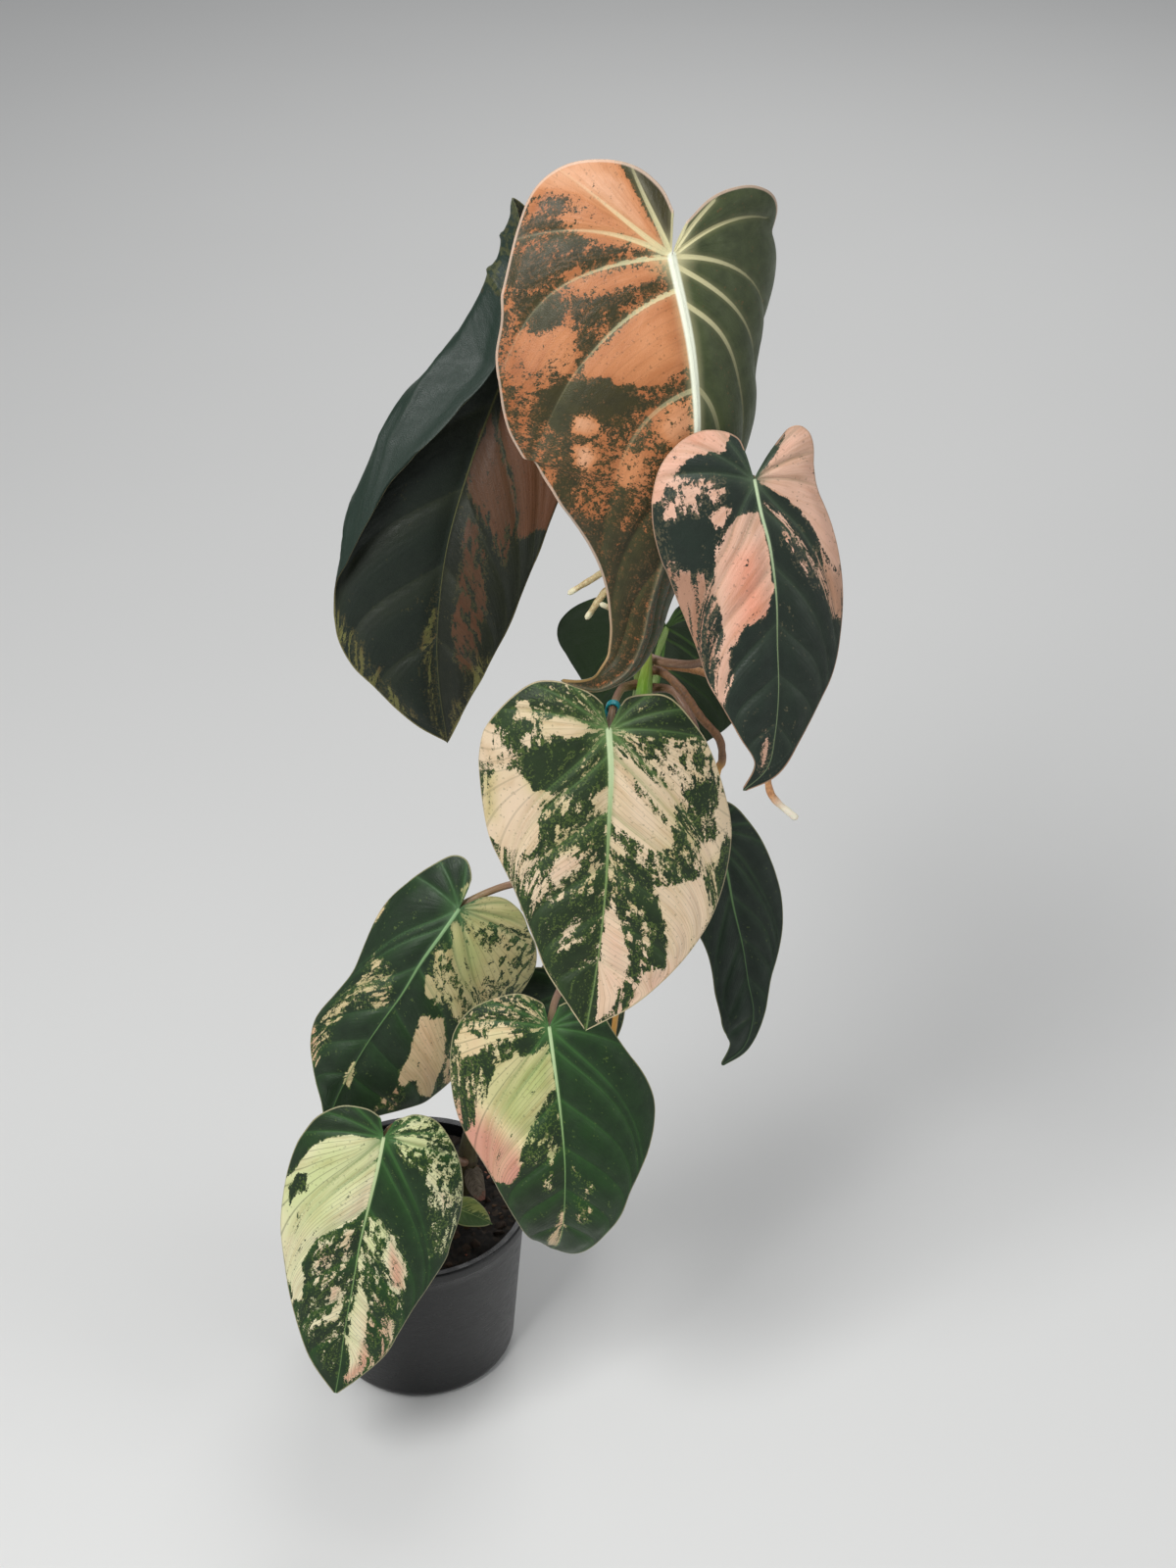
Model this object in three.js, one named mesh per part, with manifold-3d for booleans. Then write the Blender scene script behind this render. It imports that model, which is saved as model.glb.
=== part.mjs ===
// Potted philodendron melanochrysum with variegated leaves, in millimetres, +Z up.
// The origin is the middle of the pot's base, on the surface that the pot stands on.
// The plant leans to +X and its leaves face -Y, where it is looked at from.
import * as THREE from 'three';
import { mergeVertices } from 'three/addons/utils/BufferGeometryUtils.js';
import Module from 'manifold-3d';

const wasm = await Module();
wasm.setup();

// Driving dimensions
const GAP = 0.3; // clearance between two pieces that touch
const POT = {
  height: 103,
  rimRadius: 60,
  lipDepth: 7, // height of the band round the mouth
  lipOut: 2.6, // how far the band stands out from the wall
  wall: 1.5,
  baseRadius: 49,
  baseThick: 2,
  edgeRadius: 7, // rounded bottom edge
  sides: 48,
};
const DRAIN = { count: 8, holeRadius: 4.5, ringRadius: 31 };
const SOIL = { level: 96, rise: 1.6 }; // top of the mix, and how uneven it is
const BLADE = 0.8; // thickness of a leaf blade
const RIB_HALF = 1.9; // half width of the midrib
const RIB_DEPTH = 0.028; // how far it stands out underneath, as a share of the blade's half width
const VEINS = 7; // primary veins on each half of a blade
const FIRST_VEIN = 0.3; // share of the margin that is fed from the petiole's end
const VEIN_BOW = 0.14; // how far a vein swings to the lobe, as a share of its length

const COLOUR = {
  pot: 0x101216,
  soil: 0x2a211a,
  stem: 0x6f7a3c,
  bud: 0x8fc23a,
  petiole: 0x7d5a45,
  petiolePale: 0x9bb56a,
  root: 0xd8c79a,
  rootBrown: 0x8a6a4c,
  clip: 0x1f9aa0,
  dry: 0x6d655c,
};

// The stem, from the soil to its top node
const STEM = {
  path: [
    [20, 12, 66], [24, 11, 97], [33, 12, 146], [63, 20, 212], [90, 20, 293],
    [105, 18, 352], [114, 15, 401], [114, 14, 420], [110, 14, 441], [107, 14, 461], [104, 14, 478],
  ],
  radius: 5,
  topRadius: 3.6,
  nodeSwell: 0.9, // how far a ring at a node stands out
  nodes: [0.12, 0.27, 0.42, 0.55, 0.68, 0.8, 0.91],
  sides: 10,
  rings: 46,
};

// Leaves. rib: the midrib from the petiole's end to the tip. face: where the upper side looks at
// the base (and faceTip at the tip). Margins are [out from the midrib, along it], read from the
// notch between the lobes round the half to the tip. fold rows are [along, angle at the midrib,
// turn from there to the reference width], in degrees, positive to the upper side.
const LEAVES = {
  leaf_a: {
    colour: 0xc47a4e,
    rib: [
      [123, -18, 631], [131, -32, 598], [134, -40, 566], [132, -44, 541], [126, -46, 522], [120, -47, 504],
      [116, -48, 488], [113, -50, 473], [107, -53, 460], [96, -57, 454], [87, -61, 457], [79, -64, 462],
    ],
    face: [0, -1, 0.35],
    faceTip: [0.1, -0.95, 0.3],
    width: 80,
    nape: 35,
    lean: 18,
    strips: 21,
    fold: {
      left: [[-40, 6, -24], [60, 6, -24], [115, 8, -20], [160, -8, -45], [240, -15, -60]],
      right: [
        [-40, -12, -50], [0, -10, -88], [60, -25, -98], [110, -35, -100], [160, -50, -90], [215, -70, -40],
      ],
    },
    left: [
      [1, -17], [7, -27], [18, -37], [32, -43], [48, -45], [60, -39], [66, -24], [71, 4], [78, 22],
      [79, 42], [78, 63], [73, 84], [64, 106], [53, 115], [42, 124], [31, 133], [24, 141], [18, 153], [14, 169],
      [10, 187], [4, 203], [1, 214],
    ],
    right: [
      [5, -12], [14, -19], [24, -22], [36, -22], [50, -17], [63, -6], [72, 10], [76, 32],
      [76, 60], [70, 88], [60, 110], [48, 128], [36, 142], [26, 156], [18, 172], [10, 190], [4, 203], [1, 214],
    ],
  },
  leaf_b: {
    colour: 0x3d3a26,
    rib: [
      [72, 50, 592], [62, 42, 571], [50, 33, 545], [38, 23, 515], [28, 13, 482], [23, 5, 446], [23, 0, 419],
      [26, -2, 389],
    ],
    face: [0.15, -1, 0.3],
    width: 70,
    nape: 30,
    strips: 21,
    fold: {
      left: [[-40, 12, -50], [110, 12, -50], [220, 14, -50]],
      right: [[-40, 20, -30], [110, 22, -30], [220, 16, -40]],
    },
    // The left margin rolls over to the upper side: [along, start, width of the turn, angle]
    roll: {
      left: [
        [-30, 20, 14, 110], [0, 17, 16, 150], [40, 20, 16, 165], [60, 28, 16, 170], [85, 35, 16, 170],
        [110, 38, 15, 165], [135, 39, 13, 150], [155, 41, 10, 110], [170, 44, 8, 0], [230, 44, 8, 0],
      ],
    },
    rings: { left: [0.2, 0.4, 0.53, 0.63, 0.74, 0.86, 1] },
    left: [
      [8, -15], [14, -21], [26, -25], [38, -18], [43, -2], [46, 17], [51, 35], [60, 51], [66, 69],
      [67, 85], [63, 100], [62, 111], [58, 123], [53, 135], [48, 147], [46, 160], [44, 168], [38, 177],
      [30, 185], [20, 197], [11, 208], [1, 218],
    ],
    right: [
      [6, -13], [12, -19], [22, -22], [33, -16], [40, -3], [43, 20], [44, 50], [42, 80], [41, 98],
      [40, 116], [36, 140], [31, 160], [22, 182], [11, 201], [1, 218],
    ],
  },
  leaf_c: {
    colour: 0xb07c6e,
    rib: [
      [157, -50, 549], [160, -54, 536], [164, -58, 522], [167, -63, 502], [168, -68, 482], [169, -73, 463],
      [168, -78, 444], [165, -83, 431], [155, -88, 423],
    ],
    face: [0.15, -1, 0.35],
    width: 48,
    nape: 30,
    lean: 6,
    fold: { left: [[-30, 10, -42], [150, 10, -42]], right: [[-30, 16, -20], [10, 2, -62], [150, 2, -62]] },
    left: [
      [3, -13], [5, -18], [11, -22], [20, -24], [30, -21], [39, -12], [44, 5], [45, 22], [42, 42],
      [38, 58], [33, 72], [29, 86], [23, 98], [16, 110], [9, 120], [4, 130], [1, 137],
    ],
    right: [
      [10, -12], [16, -17], [22, -16], [26, -8], [28, 15], [32, 36], [33, 54], [31, 72], [27, 84],
      [20, 95], [14, 106], [9, 117], [4, 128], [1, 137],
    ],
  },
  leaf_d: {
    colour: 0xb9a582,
    rib: [
      [99, -50, 428], [100, -56, 409], [99, -63, 383], [98, -69, 361], [96, -76, 339], [93, -83, 316],
      [89, -92, 294],
    ],
    face: [0, -1, 0.35],
    width: 62,
    nape: 35,
    strips: 21,
    fold: { left: [[-30, 12, -50], [150, 12, -50]], right: [[-30, 12, -50], [150, 12, -50]] },
    left: [
      [2, -12], [6, -16], [13, -20], [23, -23], [33, -22], [46, -13], [57, 0], [61, 14], [60, 33],
      [55, 53], [48, 66], [41, 78], [35, 90], [28, 104], [23, 114], [17, 122], [10, 130], [1, 140],
    ],
    right: [
      [6, -11], [9, -14], [16, -15], [25, -14], [32, -8], [40, 4], [45, 14], [51, 27], [56, 42],
      [57, 55], [55, 69], [51, 82], [46, 92], [38, 104], [27, 117], [17, 127], [7, 135], [1, 140],
    ],
  },
  leaf_e: {
    colour: 0x27402c,
    rib: [
      [149, 0, 338], [155, -3, 319], [159, -7, 299], [164, -11, 278], [167, -15, 260], [170, -20, 243],
      [166, -25, 227], [155, -29, 218],
    ],
    face: [0.6, -1, 0.3],
    width: 48,
    nape: 25,
    fold: { left: [[-30, 0, -30], [150, 0, -30]], right: [[-30, 22, -45], [150, 5, -40]] },
    left: [
      [4, -11], [8, -15], [17, -16], [25, -8], [28, 8], [26, 25], [22, 42], [19, 55], [18, 70],
      [18, 86], [17, 103], [12, 114], [6, 123], [1, 131],
    ],
    right: [
      [5, -10], [9, -12], [14, -6], [19, 8], [22, 20], [25, 33], [26, 46], [24, 59], [19, 72],
      [12, 86], [7, 98], [4, 112], [1, 131],
    ],
  },
  leaf_f: {
    colour: 0x5f7444,
    rib: [
      [29, -15, 303], [21, -19, 292], [11, -23, 278], [1, -27, 261], [-9, -31, 247], [-18, -34, 233],
      [-28, -38, 215], [-34, -40, 201], [-38, -42, 190],
    ],
    face: [0.1, -1, 0.3],
    width: 52,
    nape: 25,
    fold: { left: [[-30, -10, -75], [150, -10, -75]], right: [[-30, 6, -40], [150, 6, -40]] },
    left: [
      [2, -12], [4, -17], [10, -22], [17, -20], [23, -10], [28, 2], [32, 15], [33, 26], [31, 38],
      [29, 50], [27, 62], [28, 75], [30, 90], [26, 100], [20, 107], [13, 115], [6, 124], [1, 134],
    ],
    right: [
      [6, -11], [10, -14], [17, -16], [27, -14], [36, -8], [46, -1], [54, 9], [57, 22], [57, 40],
      [56, 60], [54, 77], [51, 89], [47, 98], [42, 107], [33, 115], [23, 121], [11, 128], [1, 134],
    ],
  },
  leaf_g: {
    colour: 0x7d8a58,
    rib: [
      [72, -58, 267], [74, -64, 252], [77, -73, 229], [79, -82, 206], [79, -87, 187], [78, -88, 169],
      [76, -84, 153], [72, -76, 141],
    ],
    face: [0.05, -1, 0.35],
    width: 50,
    nape: 30,
    lean: 6,
    fold: { left: [[-30, 10, -42], [150, 10, -42]], right: [[-30, 10, -48], [150, 10, -48]] },
    left: [
      [2, -10], [4, -13], [14, -18], [26, -17], [37, -13], [45, -4], [50, 10], [52, 26], [51, 40],
      [47, 52], [40, 66], [32, 83], [22, 103], [12, 122], [1, 135],
    ],
    right: [
      [5, -10], [9, -11], [16, -8], [25, -3], [30, 7], [36, 19], [43, 32], [47, 44], [46, 55],
      [42, 66], [37, 75], [32, 85], [28, 97], [22, 108], [14, 121], [1, 135],
    ],
  },
  leaf_h: {
    colour: 0x93a36a,
    rib: [
      [-8, -62, 201], [-11, -67, 187], [-16, -73, 167], [-21, -79, 147], [-25, -85, 126], [-30, -91, 100],
      [-33, -96, 80], [-36, -100, 64],
    ],
    face: [-0.05, -1, 0.35],
    width: 48,
    nape: 30,
    fold: { left: [[-30, 10, -42], [150, 10, -42]], right: [[-30, 10, -45], [150, 10, -45]] },
    left: [
      [3.5, -10], [5, -11], [11, -13], [22, -12], [31, -6], [37, 2], [42, 15], [44, 34], [42, 56],
      [37, 74], [31, 93], [23, 111], [14, 129], [1, 145],
    ],
    right: [
      [4, -10], [7, -12], [14, -15], [24, -13], [34, -2], [42, 14], [46, 32], [45, 50], [44, 62],
      [38, 76], [32, 89], [27, 104], [22, 118], [12, 131], [1, 145],
    ],
  },
  leaf_i: {
    colour: 0x33502c,
    rib: [[126, 44, 424], [125, 46, 407], [123, 47, 388], [121, 47, 369], [118, 45, 351], [115, 42, 335]],
    face: [0.05, 1, -0.1],
    width: 50,
    nape: 25,
    fold: { left: [[-30, 8, -30], [100, 8, -30]], right: [[-30, 8, -30], [100, 8, -30]] },
    left: [
      [4, -10], [8, -14], [20, -18], [34, -14], [45, -6], [50, 6], [49, 22], [44, 38], [36, 52],
      [27, 62], [17, 73], [8, 82], [1, 89],
    ],
    right: [
      [4, -10], [8, -14], [20, -18], [34, -14], [44, -9], [50, -1], [50, 9], [44, 24], [36, 37],
      [28, 50], [18, 66], [8, 80], [1, 89],
    ],
  },
  leaf_j: {
    colour: 0x2c4a2c,
    rib: [[83, 6, 238], [80, 2, 224], [77, -4, 212], [74, -10, 199], [72, -16, 188]],
    face: [-0.1, -1, 0.2],
    width: 40,
    nape: 25,
    fold: { left: [[-30, 8, -40], [100, 8, -40]], right: [[-30, 8, -40], [100, 8, -40]] },
    left: [
      [4, -8], [10, -9], [16, -7], [22, -5], [28, 0], [31, 10], [30, 22], [24, 34], [14, 44],
      [5, 51], [1, 55],
    ],
    right: [
      [4, -8], [12, -9], [20, -6], [26, 2], [28, 14], [25, 26], [16, 40], [6, 50], [1, 55],
    ],
  },
  leaf_small: {
    colour: 0x6c8a45,
    rib: [[20, -17, 111], [27, -21, 111], [34, -23, 109], [41, -24, 105]],
    face: [0, -0.4, 1],
    width: 14,
    nape: 20,
    veins: 4,
    fold: { left: [[-10, 15, -25], [40, 15, -25]], right: [[-10, 15, -25], [40, 15, -25]] },
    left: [[2.5, -1.8], [4, -2], [7, 3], [8, 9], [6, 15], [3, 20], [1, 22]],
    right: [[2.5, -1.8], [4, -2], [7, 3], [8, 9], [6, 15], [3, 20], [1, 22]],
  },
};

// Petioles: each leaves the stem at a height, passes these points and ends behind its blade.
// A petiole that comes out of the soil has its lower end in place of the height.
const PETIOLES = {
  petiole_a: { leaf: 'leaf_a', height: 441, colour: COLOUR.petiole, radius: [2.5, 2],
    path: [[117, 13, 449], [121, 13, 463], [126, 13, 484], [134, 8, 537], [135, 2, 585], [130, -6, 614]] },
  petiole_b: { leaf: 'leaf_b', height: 463, colour: COLOUR.petiole, radius: [2.4, 1.8],
    path: [[100, 24, 474], [95, 32, 502], [86, 42, 543], [78, 53, 575], [74, 56, 587]] },
  petiole_c: { leaf: 'leaf_c', height: 426, colour: COLOUR.petiole, radius: [2.2, 1.6],
    path: [[120, 9, 427], [127, 3, 429], [139, -8, 436], [151, -24, 456], [159, -32, 490], [162, -37, 524]] },
  petiole_d: { leaf: 'leaf_d', height: 411, colour: COLOUR.petiole, radius: [2.1, 1.6],
    path: [[107, 5, 415], [104, -10, 422], [101, -30, 427]] },
  petiole_e: { leaf: 'leaf_e', height: 407, colour: COLOUR.petiole, radius: [2.1, 1.5],
    path: [[121, 15, 408], [129, 7, 411], [136, -2, 404], [141, -3, 389], [145, 4, 364], [147, 9, 348]] },
  petiole_f: { leaf: 'leaf_f', height: 286, colour: COLOUR.petiole, radius: [2.2, 1.6],
    path: [[79, 16, 291], [71, 10, 297], [57, -1, 308], [42, -7, 307]] },
  petiole_g: { leaf: 'leaf_g', height: 256, colour: COLOUR.petiole, radius: [2.2, 1.6],
    path: [[79, 9, 254], [78, -8, 254], [74, -32, 260]] },
  petiole_h: { leaf: 'leaf_h', height: 118, colour: COLOUR.petiole, radius: [2.2, 1.6],
    path: [[24, 2, 124], [17, -10, 143], [7, -29, 172], [-3, -48, 196]] },
  petiole_i: { leaf: 'leaf_i', height: 398, colour: COLOUR.petiolePale, radius: [1.6, 1.2],
    path: [[116, 22, 396], [121, 29, 403], [122, 35, 413]] },
  petiole_j: { leaf: 'leaf_j', height: 296, colour: COLOUR.petiolePale, radius: [1.6, 1.2],
    path: [[98, 18, 289], [98, 18, 270], [92, 16, 252], [87, 14, 243]] },
  petiole_small: { leaf: 'leaf_small', ground: [12, -8, 84], colour: COLOUR.petiolePale, radius: [1.5, 0.9],
    path: [[14, -11, 97], [16, -14, 105]] },
};

// Aerial roots: they start at a height of the stem and run free.
const ROOTS = {
  root_upper_long: { height: 472, radius: [1.5, 1.3], colour: COLOUR.root,
    path: [[98, 9, 473], [91, 6, 470], [81, 4, 464]] },
  root_upper_middle: { height: 463, radius: [1.7, 1.4], colour: COLOUR.root,
    path: [[99, 10, 463], [95, 8, 459], [89, 4, 451]] },
  root_upper_short: { height: 455, radius: [1.6, 1.3], colour: COLOUR.root,
    path: [[105, 6, 456], [101, 2, 458], [95, 1, 461]] },
  root_long: { height: 417, radius: [2, 1.7], colour: COLOUR.rootBrown,
    path: [[123, 10, 420], [133, -3, 417], [140, -8, 408], [149, -10, 397], [151, -8, 384], [149, -5, 374],
      [147, 0, 346]] },
  root_right: { height: 414, radius: [1.8, 1.6], colour: COLOUR.root,
    path: [[124, 22, 415], [140, 12, 419], [154, 0, 419], [164, -20, 413], [169, -35, 405], [169, -40, 398],
      [172, -42, 387], [183, -46, 378]] },
  root_middle: { height: 275, radius: [1.6, 1.2], colour: COLOUR.root,
    path: [[77, 15, 277], [70, 11, 281], [61, 4, 287], [58, 2, 293]] },
  root_low: { height: 350, radius: [1.7, 1.4], colour: COLOUR.rootBrown,
    path: [[112, 14, 345], [112, 9, 325], [108, 4, 300], [105, -5, 263], [103, -12, 229], [99, -16, 206]] },
};

const SEAT = 1.4; // how far down the midrib a petiole meets its blade

// A small clip round the petiole of leaf_d
const CLIP = { share: 0.72, inner: 2.4, outer: 3.2, width: 3.6, tail: [3, 1.2, 5] };

const v3 = (p) => new THREE.Vector3(...p);
const smooth = (x) => {
  const t = Math.min(Math.max(x, 0), 1);
  return t * t * (3 - 2 * t);
};

// A smooth curve through points, with its length measured, so that it is read by distance.
class Path {
  constructor(points, samples = 240) {
    this.points = new THREE.CatmullRomCurve3(points.map(v3), false, 'catmullrom', 0.5).getPoints(samples);
    this.arc = [0];
    for (let i = 1; i < this.points.length; i += 1) {
      this.arc.push(this.arc[i - 1] + this.points[i].distanceTo(this.points[i - 1]));
    }
    this.length = this.arc[this.arc.length - 1];
  }

  at(distance) {
    const d = Math.min(Math.max(distance, 0), this.length);
    let i = this.arc.findIndex((a) => a >= d);
    i = Math.max(i, 1);
    const t = (d - this.arc[i - 1]) / (this.arc[i] - this.arc[i - 1]);
    return this.points[i - 1].clone().lerp(this.points[i], t);
  }

  tangent(distance) {
    const h = this.length * 0.02;
    return this.at(distance + h).sub(this.at(distance - h)).normalize();
  }
}

function geometryOf(vertices, triangles) {
  const geometry = new THREE.BufferGeometry();
  const numbers = vertices.flatMap((p) => p.toArray());
  geometry.setAttribute('position', new THREE.Float32BufferAttribute(numbers, 3));
  geometry.setIndex(triangles.flat());
  geometry.computeVertexNormals();
  return geometry;
}

// A closed round body along a path. radii(t) gives the radius at a share of its length.
// extra makes it longer at both ends, and bunch draws its rings to the ends.
function tube(path, radii, sides, rings, extra = 0, bunch = 0) {
  const vertices = [];
  const triangles = [];
  let side = new THREE.Vector3(0.3, 1, 0.2);
  for (let i = 0; i <= rings; i += 1) {
    const t = i / rings - bunch * Math.sin((2 * Math.PI * i) / rings);
    const centre = path.at(t * path.length);
    const along = path.tangent(t * path.length);
    side = side.clone().addScaledVector(along, -side.dot(along)).normalize();
    const other = new THREE.Vector3().crossVectors(along, side);
    if (i === 0 || i === rings) {
      centre.addScaledVector(along, i === 0 ? -extra : extra);
    }
    for (let k = 0; k < sides; k += 1) {
      const a = (2 * Math.PI * k) / sides;
      const out = side.clone().multiplyScalar(Math.cos(a)).addScaledVector(other, Math.sin(a));
      vertices.push(centre.clone().addScaledVector(out, radii(t)));
    }
  }
  for (let i = 0; i < rings; i += 1) {
    for (let k = 0; k < sides; k += 1) {
      const a = i * sides + k;
      const b = i * sides + ((k + 1) % sides);
      triangles.push([a, b, b + sides], [a, b + sides, a + sides]);
    }
  }
  for (let k = 1; k < sides - 1; k += 1) {
    const last = rings * sides;
    triangles.push([0, k + 1, k], [last, last + k, last + k + 1]);
  }
  return geometryOf(vertices, triangles);
}

function solid(geometry) {
  const bare = geometry.clone();
  bare.deleteAttribute('normal');
  bare.deleteAttribute('uv');
  const merged = mergeVertices(bare, 1e-4);
  return new wasm.Manifold(new wasm.Mesh({
    numProp: 3,
    vertProperties: new Float32Array(merged.attributes.position.array),
    triVerts: new Uint32Array(merged.index.array),
  }));
}

function backToGeometry(manifold) {
  const mesh = manifold.getMesh();
  const geometry = new THREE.BufferGeometry();
  geometry.setAttribute('position', new THREE.BufferAttribute(new Float32Array(mesh.vertProperties), 3));
  geometry.setIndex(new THREE.BufferAttribute(new Uint32Array(mesh.triVerts), 1));
  geometry.computeVertexNormals();
  return geometry;
}

// The surface of one leaf: flat coordinates (out from the midrib, along it) to space.
class Leaf {
  constructor(spec) {
    this.spec = spec;
    this.rib = new Path(spec.rib);
    this.length = this.rib.length;
    this.lean = Math.tan(THREE.MathUtils.degToRad(spec.lean ?? 0));
    this.napeTurn = THREE.MathUtils.degToRad(spec.nape) / spec.width; // turn of the lobes per mm
  }

  // The midrib's point with its frame: along, up (to the upper side) and right.
  frame(along) {
    const v = Math.min(Math.max(along, 0), this.length);
    const origin = this.rib.at(v);
    const tip = this.rib.tangent(v);
    const face = v3(this.spec.face).lerp(v3(this.spec.faceTip ?? this.spec.face), v / this.length);
    const up = face.addScaledVector(tip, -face.dot(tip)).normalize();
    const right = new THREE.Vector3().crossVectors(up, tip);
    if (along >= 0) {
      return { origin, tip, up, right };
    }
    const turn = -along * this.napeTurn; // the lobes bend back on an arc behind the petiole's end
    const back = Math.sin(turn) / this.napeTurn;
    origin.addScaledVector(tip, -back);
    origin.addScaledVector(up, -(1 - Math.cos(turn)) / this.napeTurn);
    origin.addScaledVector(right, this.lean * back);
    const bentUp = up.clone().multiplyScalar(Math.cos(turn)).addScaledVector(tip, -Math.sin(turn));
    return { origin, tip, up: bentUp, right };
  }

  // How far the half has turned from the leaf's plane, in radians, at a distance from the midrib.
  angle(side, out, along) {
    const rows = this.spec.fold[side];
    let k = 0;
    while (k < rows.length - 2 && along >= rows[k + 1][0]) {
      k += 1;
    }
    const w = smooth((along - rows[k][0]) / (rows[k + 1][0] - rows[k][0]));
    const atRib = THREE.MathUtils.lerp(rows[k][1], rows[k + 1][1], w);
    const bend = THREE.MathUtils.lerp(rows[k][2], rows[k + 1][2], w);
    let degrees = atRib + (bend * out) / this.spec.width;
    const roll = this.spec.roll?.[side];
    if (roll) {
      k = 0;
      while (k < roll.length - 2 && along >= roll[k + 1][0]) {
        k += 1;
      }
      const s = Math.min(Math.max((along - roll[k][0]) / (roll[k + 1][0] - roll[k][0]), 0), 1);
      const between = (c) => THREE.MathUtils.lerp(roll[k][c], roll[k + 1][c], s);
      const [start, turnWidth, turn] = [between(1), between(2), between(3)];
      degrees += turn * smooth((out - start) / turnWidth);
    }
    return THREE.MathUtils.degToRad(degrees);
  }

  point(side, out, along) {
    const { origin, up, right } = this.frame(along);
    const sign = side === 'right' ? 1 : -1;
    const steps = 32;
    let across = 0;
    let rise = 0;
    for (let k = 0; k < steps; k += 1) {
      const a = this.angle(side, (out * (k + 0.5)) / steps, along);
      across += (Math.cos(a) * out) / steps;
      rise += (Math.sin(a) * out) / steps;
    }
    const end = this.angle(side, out, along);
    const normal = up.clone().multiplyScalar(Math.cos(end)).addScaledVector(right, -sign * Math.sin(end));
    return { place: origin.addScaledVector(right, sign * across).addScaledVector(up, rise), normal };
  }
}

// One leaf blade as a closed body. Its grid lines run along the veins from the midrib to the
// margin. Between two veins the blade rises a little, and the midrib stands out underneath.
function bladeGeometry(spec) {
  const leaf = new Leaf(spec);
  const veins = spec.veins ?? VEINS;
  const strips = spec.strips ?? 2 * veins;
  const pleat = 0.012 * spec.width;
  const ribDepth = RIB_DEPTH * spec.width;
  const top = [];
  const bottom = [];
  const triangles = [];
  const ribStart = (s) => leaf.length * smoothStart(s);
  const ribIndex = new Map();

  function smoothStart(s) {
    return Math.max((s - FIRST_VEIN) / (1 - FIRST_VEIN), 0) ** 1.05;
  }

  function addVertex(side, out, along, lift, fromRib) {
    const { place, normal } = leaf.point(side, out, along);
    const tipward = 1 - 0.7 * Math.min(Math.max(along / leaf.length, 0), 1);
    const thick = BLADE + ribDepth * tipward * Math.exp(-fromRib / RIB_HALF);
    const across = leaf.frame(along).up.lerp(normal, smooth(fromRib / (3 * RIB_HALF))).normalize();
    top.push(place.clone().addScaledVector(across, lift));
    bottom.push(place.clone().addScaledVector(across, lift - thick));
    return top.length - 1;
  }

  function ribVertex(s) {
    const along = Math.min(ribStart(s), leaf.length - 0.5);
    const key = along.toFixed(3);
    if (!ribIndex.has(key)) {
      const { origin, up } = leaf.frame(along);
      const thick = BLADE + ribDepth * (1 - (0.7 * along) / leaf.length);
      top.push(origin.clone());
      bottom.push(origin.clone().addScaledVector(up, -thick));
      ribIndex.set(key, top.length - 1);
    }
    return ribIndex.get(key);
  }

  for (const side of ['left', 'right']) {
    const margin = new Path(spec[side].map(([out, along]) => [out, along, 0]));
    const rings = spec.rings?.[side] ?? [0.28, 0.55, 0.8, 1];
    const lines = [];
    for (let i = 0; i <= strips; i += 1) {
      const s = i / strips;
      const end = margin.at(s * margin.length);
      const start = new THREE.Vector3(0, ribStart(s), 0);
      const reach = end.distanceTo(start);
      const bend = start.clone().add(end).multiplyScalar(0.5);
      bend.y -= VEIN_BOW * reach;
      const vein = new THREE.QuadraticBezierCurve3(start, bend, end);
      const line = [ribVertex(s)];
      const nearRib = Math.min(RIB_HALF / reach, 0.35 * rings[0]);
      for (const share of [nearRib, ...rings]) {
        const p = vein.getPoint(share);
        const lift = pleat * Math.cos(2 * Math.PI * veins * s) * Math.sin(Math.PI * share) ** 2;
        line.push(addVertex(side, Math.max(p.x, 0), p.y, lift, share * reach));
      }
      lines.push(line);
    }
    for (let i = 0; i < strips; i += 1) {
      for (let j = 0; j < rings.length + 1; j += 1) {
        const [a, b, c, d] = [lines[i][j], lines[i + 1][j], lines[i + 1][j + 1], lines[i][j + 1]];
        const pair = [[a, b, c], [a, c, d]];
        for (const t of pair) {
          if (new Set(t).size === 3) {
            triangles.push(side === 'right' ? t : [t[0], t[2], t[1]]);
          }
        }
      }
    }
  }
  return geometryOf([...top, ...bottom], closed(triangles, top.length));
}

// Adds the lower side of a sheet and the wall round its edge. count is its number of vertices.
function closed(triangles, count) {
  const edges = new Map();
  for (const t of triangles) {
    for (let k = 0; k < 3; k += 1) {
      edges.set(`${t[k]},${t[(k + 1) % 3]}`, [t[k], t[(k + 1) % 3]]);
    }
  }
  const all = [...triangles, ...triangles.map(([a, b, c]) => [a + count, c + count, b + count])];
  for (const [a, b] of edges.values()) {
    if (!edges.has(`${b},${a}`)) {
      all.push([b, a, a + count], [b, a + count, b + count]);
    }
  }
  return all;
}

const stemPath = new Path(STEM.path);

function stemRadius(t) {
  let radius = THREE.MathUtils.lerp(STEM.radius, STEM.topRadius, t);
  for (const node of STEM.nodes) {
    const away = ((t - node) * stemPath.length) / 3.5;
    radius += STEM.nodeSwell * Math.exp(-away * away);
  }
  return radius * (t > 0.985 ? 0.8 : 1);
}

const stemGrown = solid(tube(stemPath, (t) => stemRadius(t) + GAP, STEM.sides, STEM.rings, GAP));

// The point on the stem's axis at a height.
function onAxis(height) {
  return stemPath.points.reduce((a, b) => (Math.abs(b.z - height) < Math.abs(a.z - height) ? b : a)).toArray();
}

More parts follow.
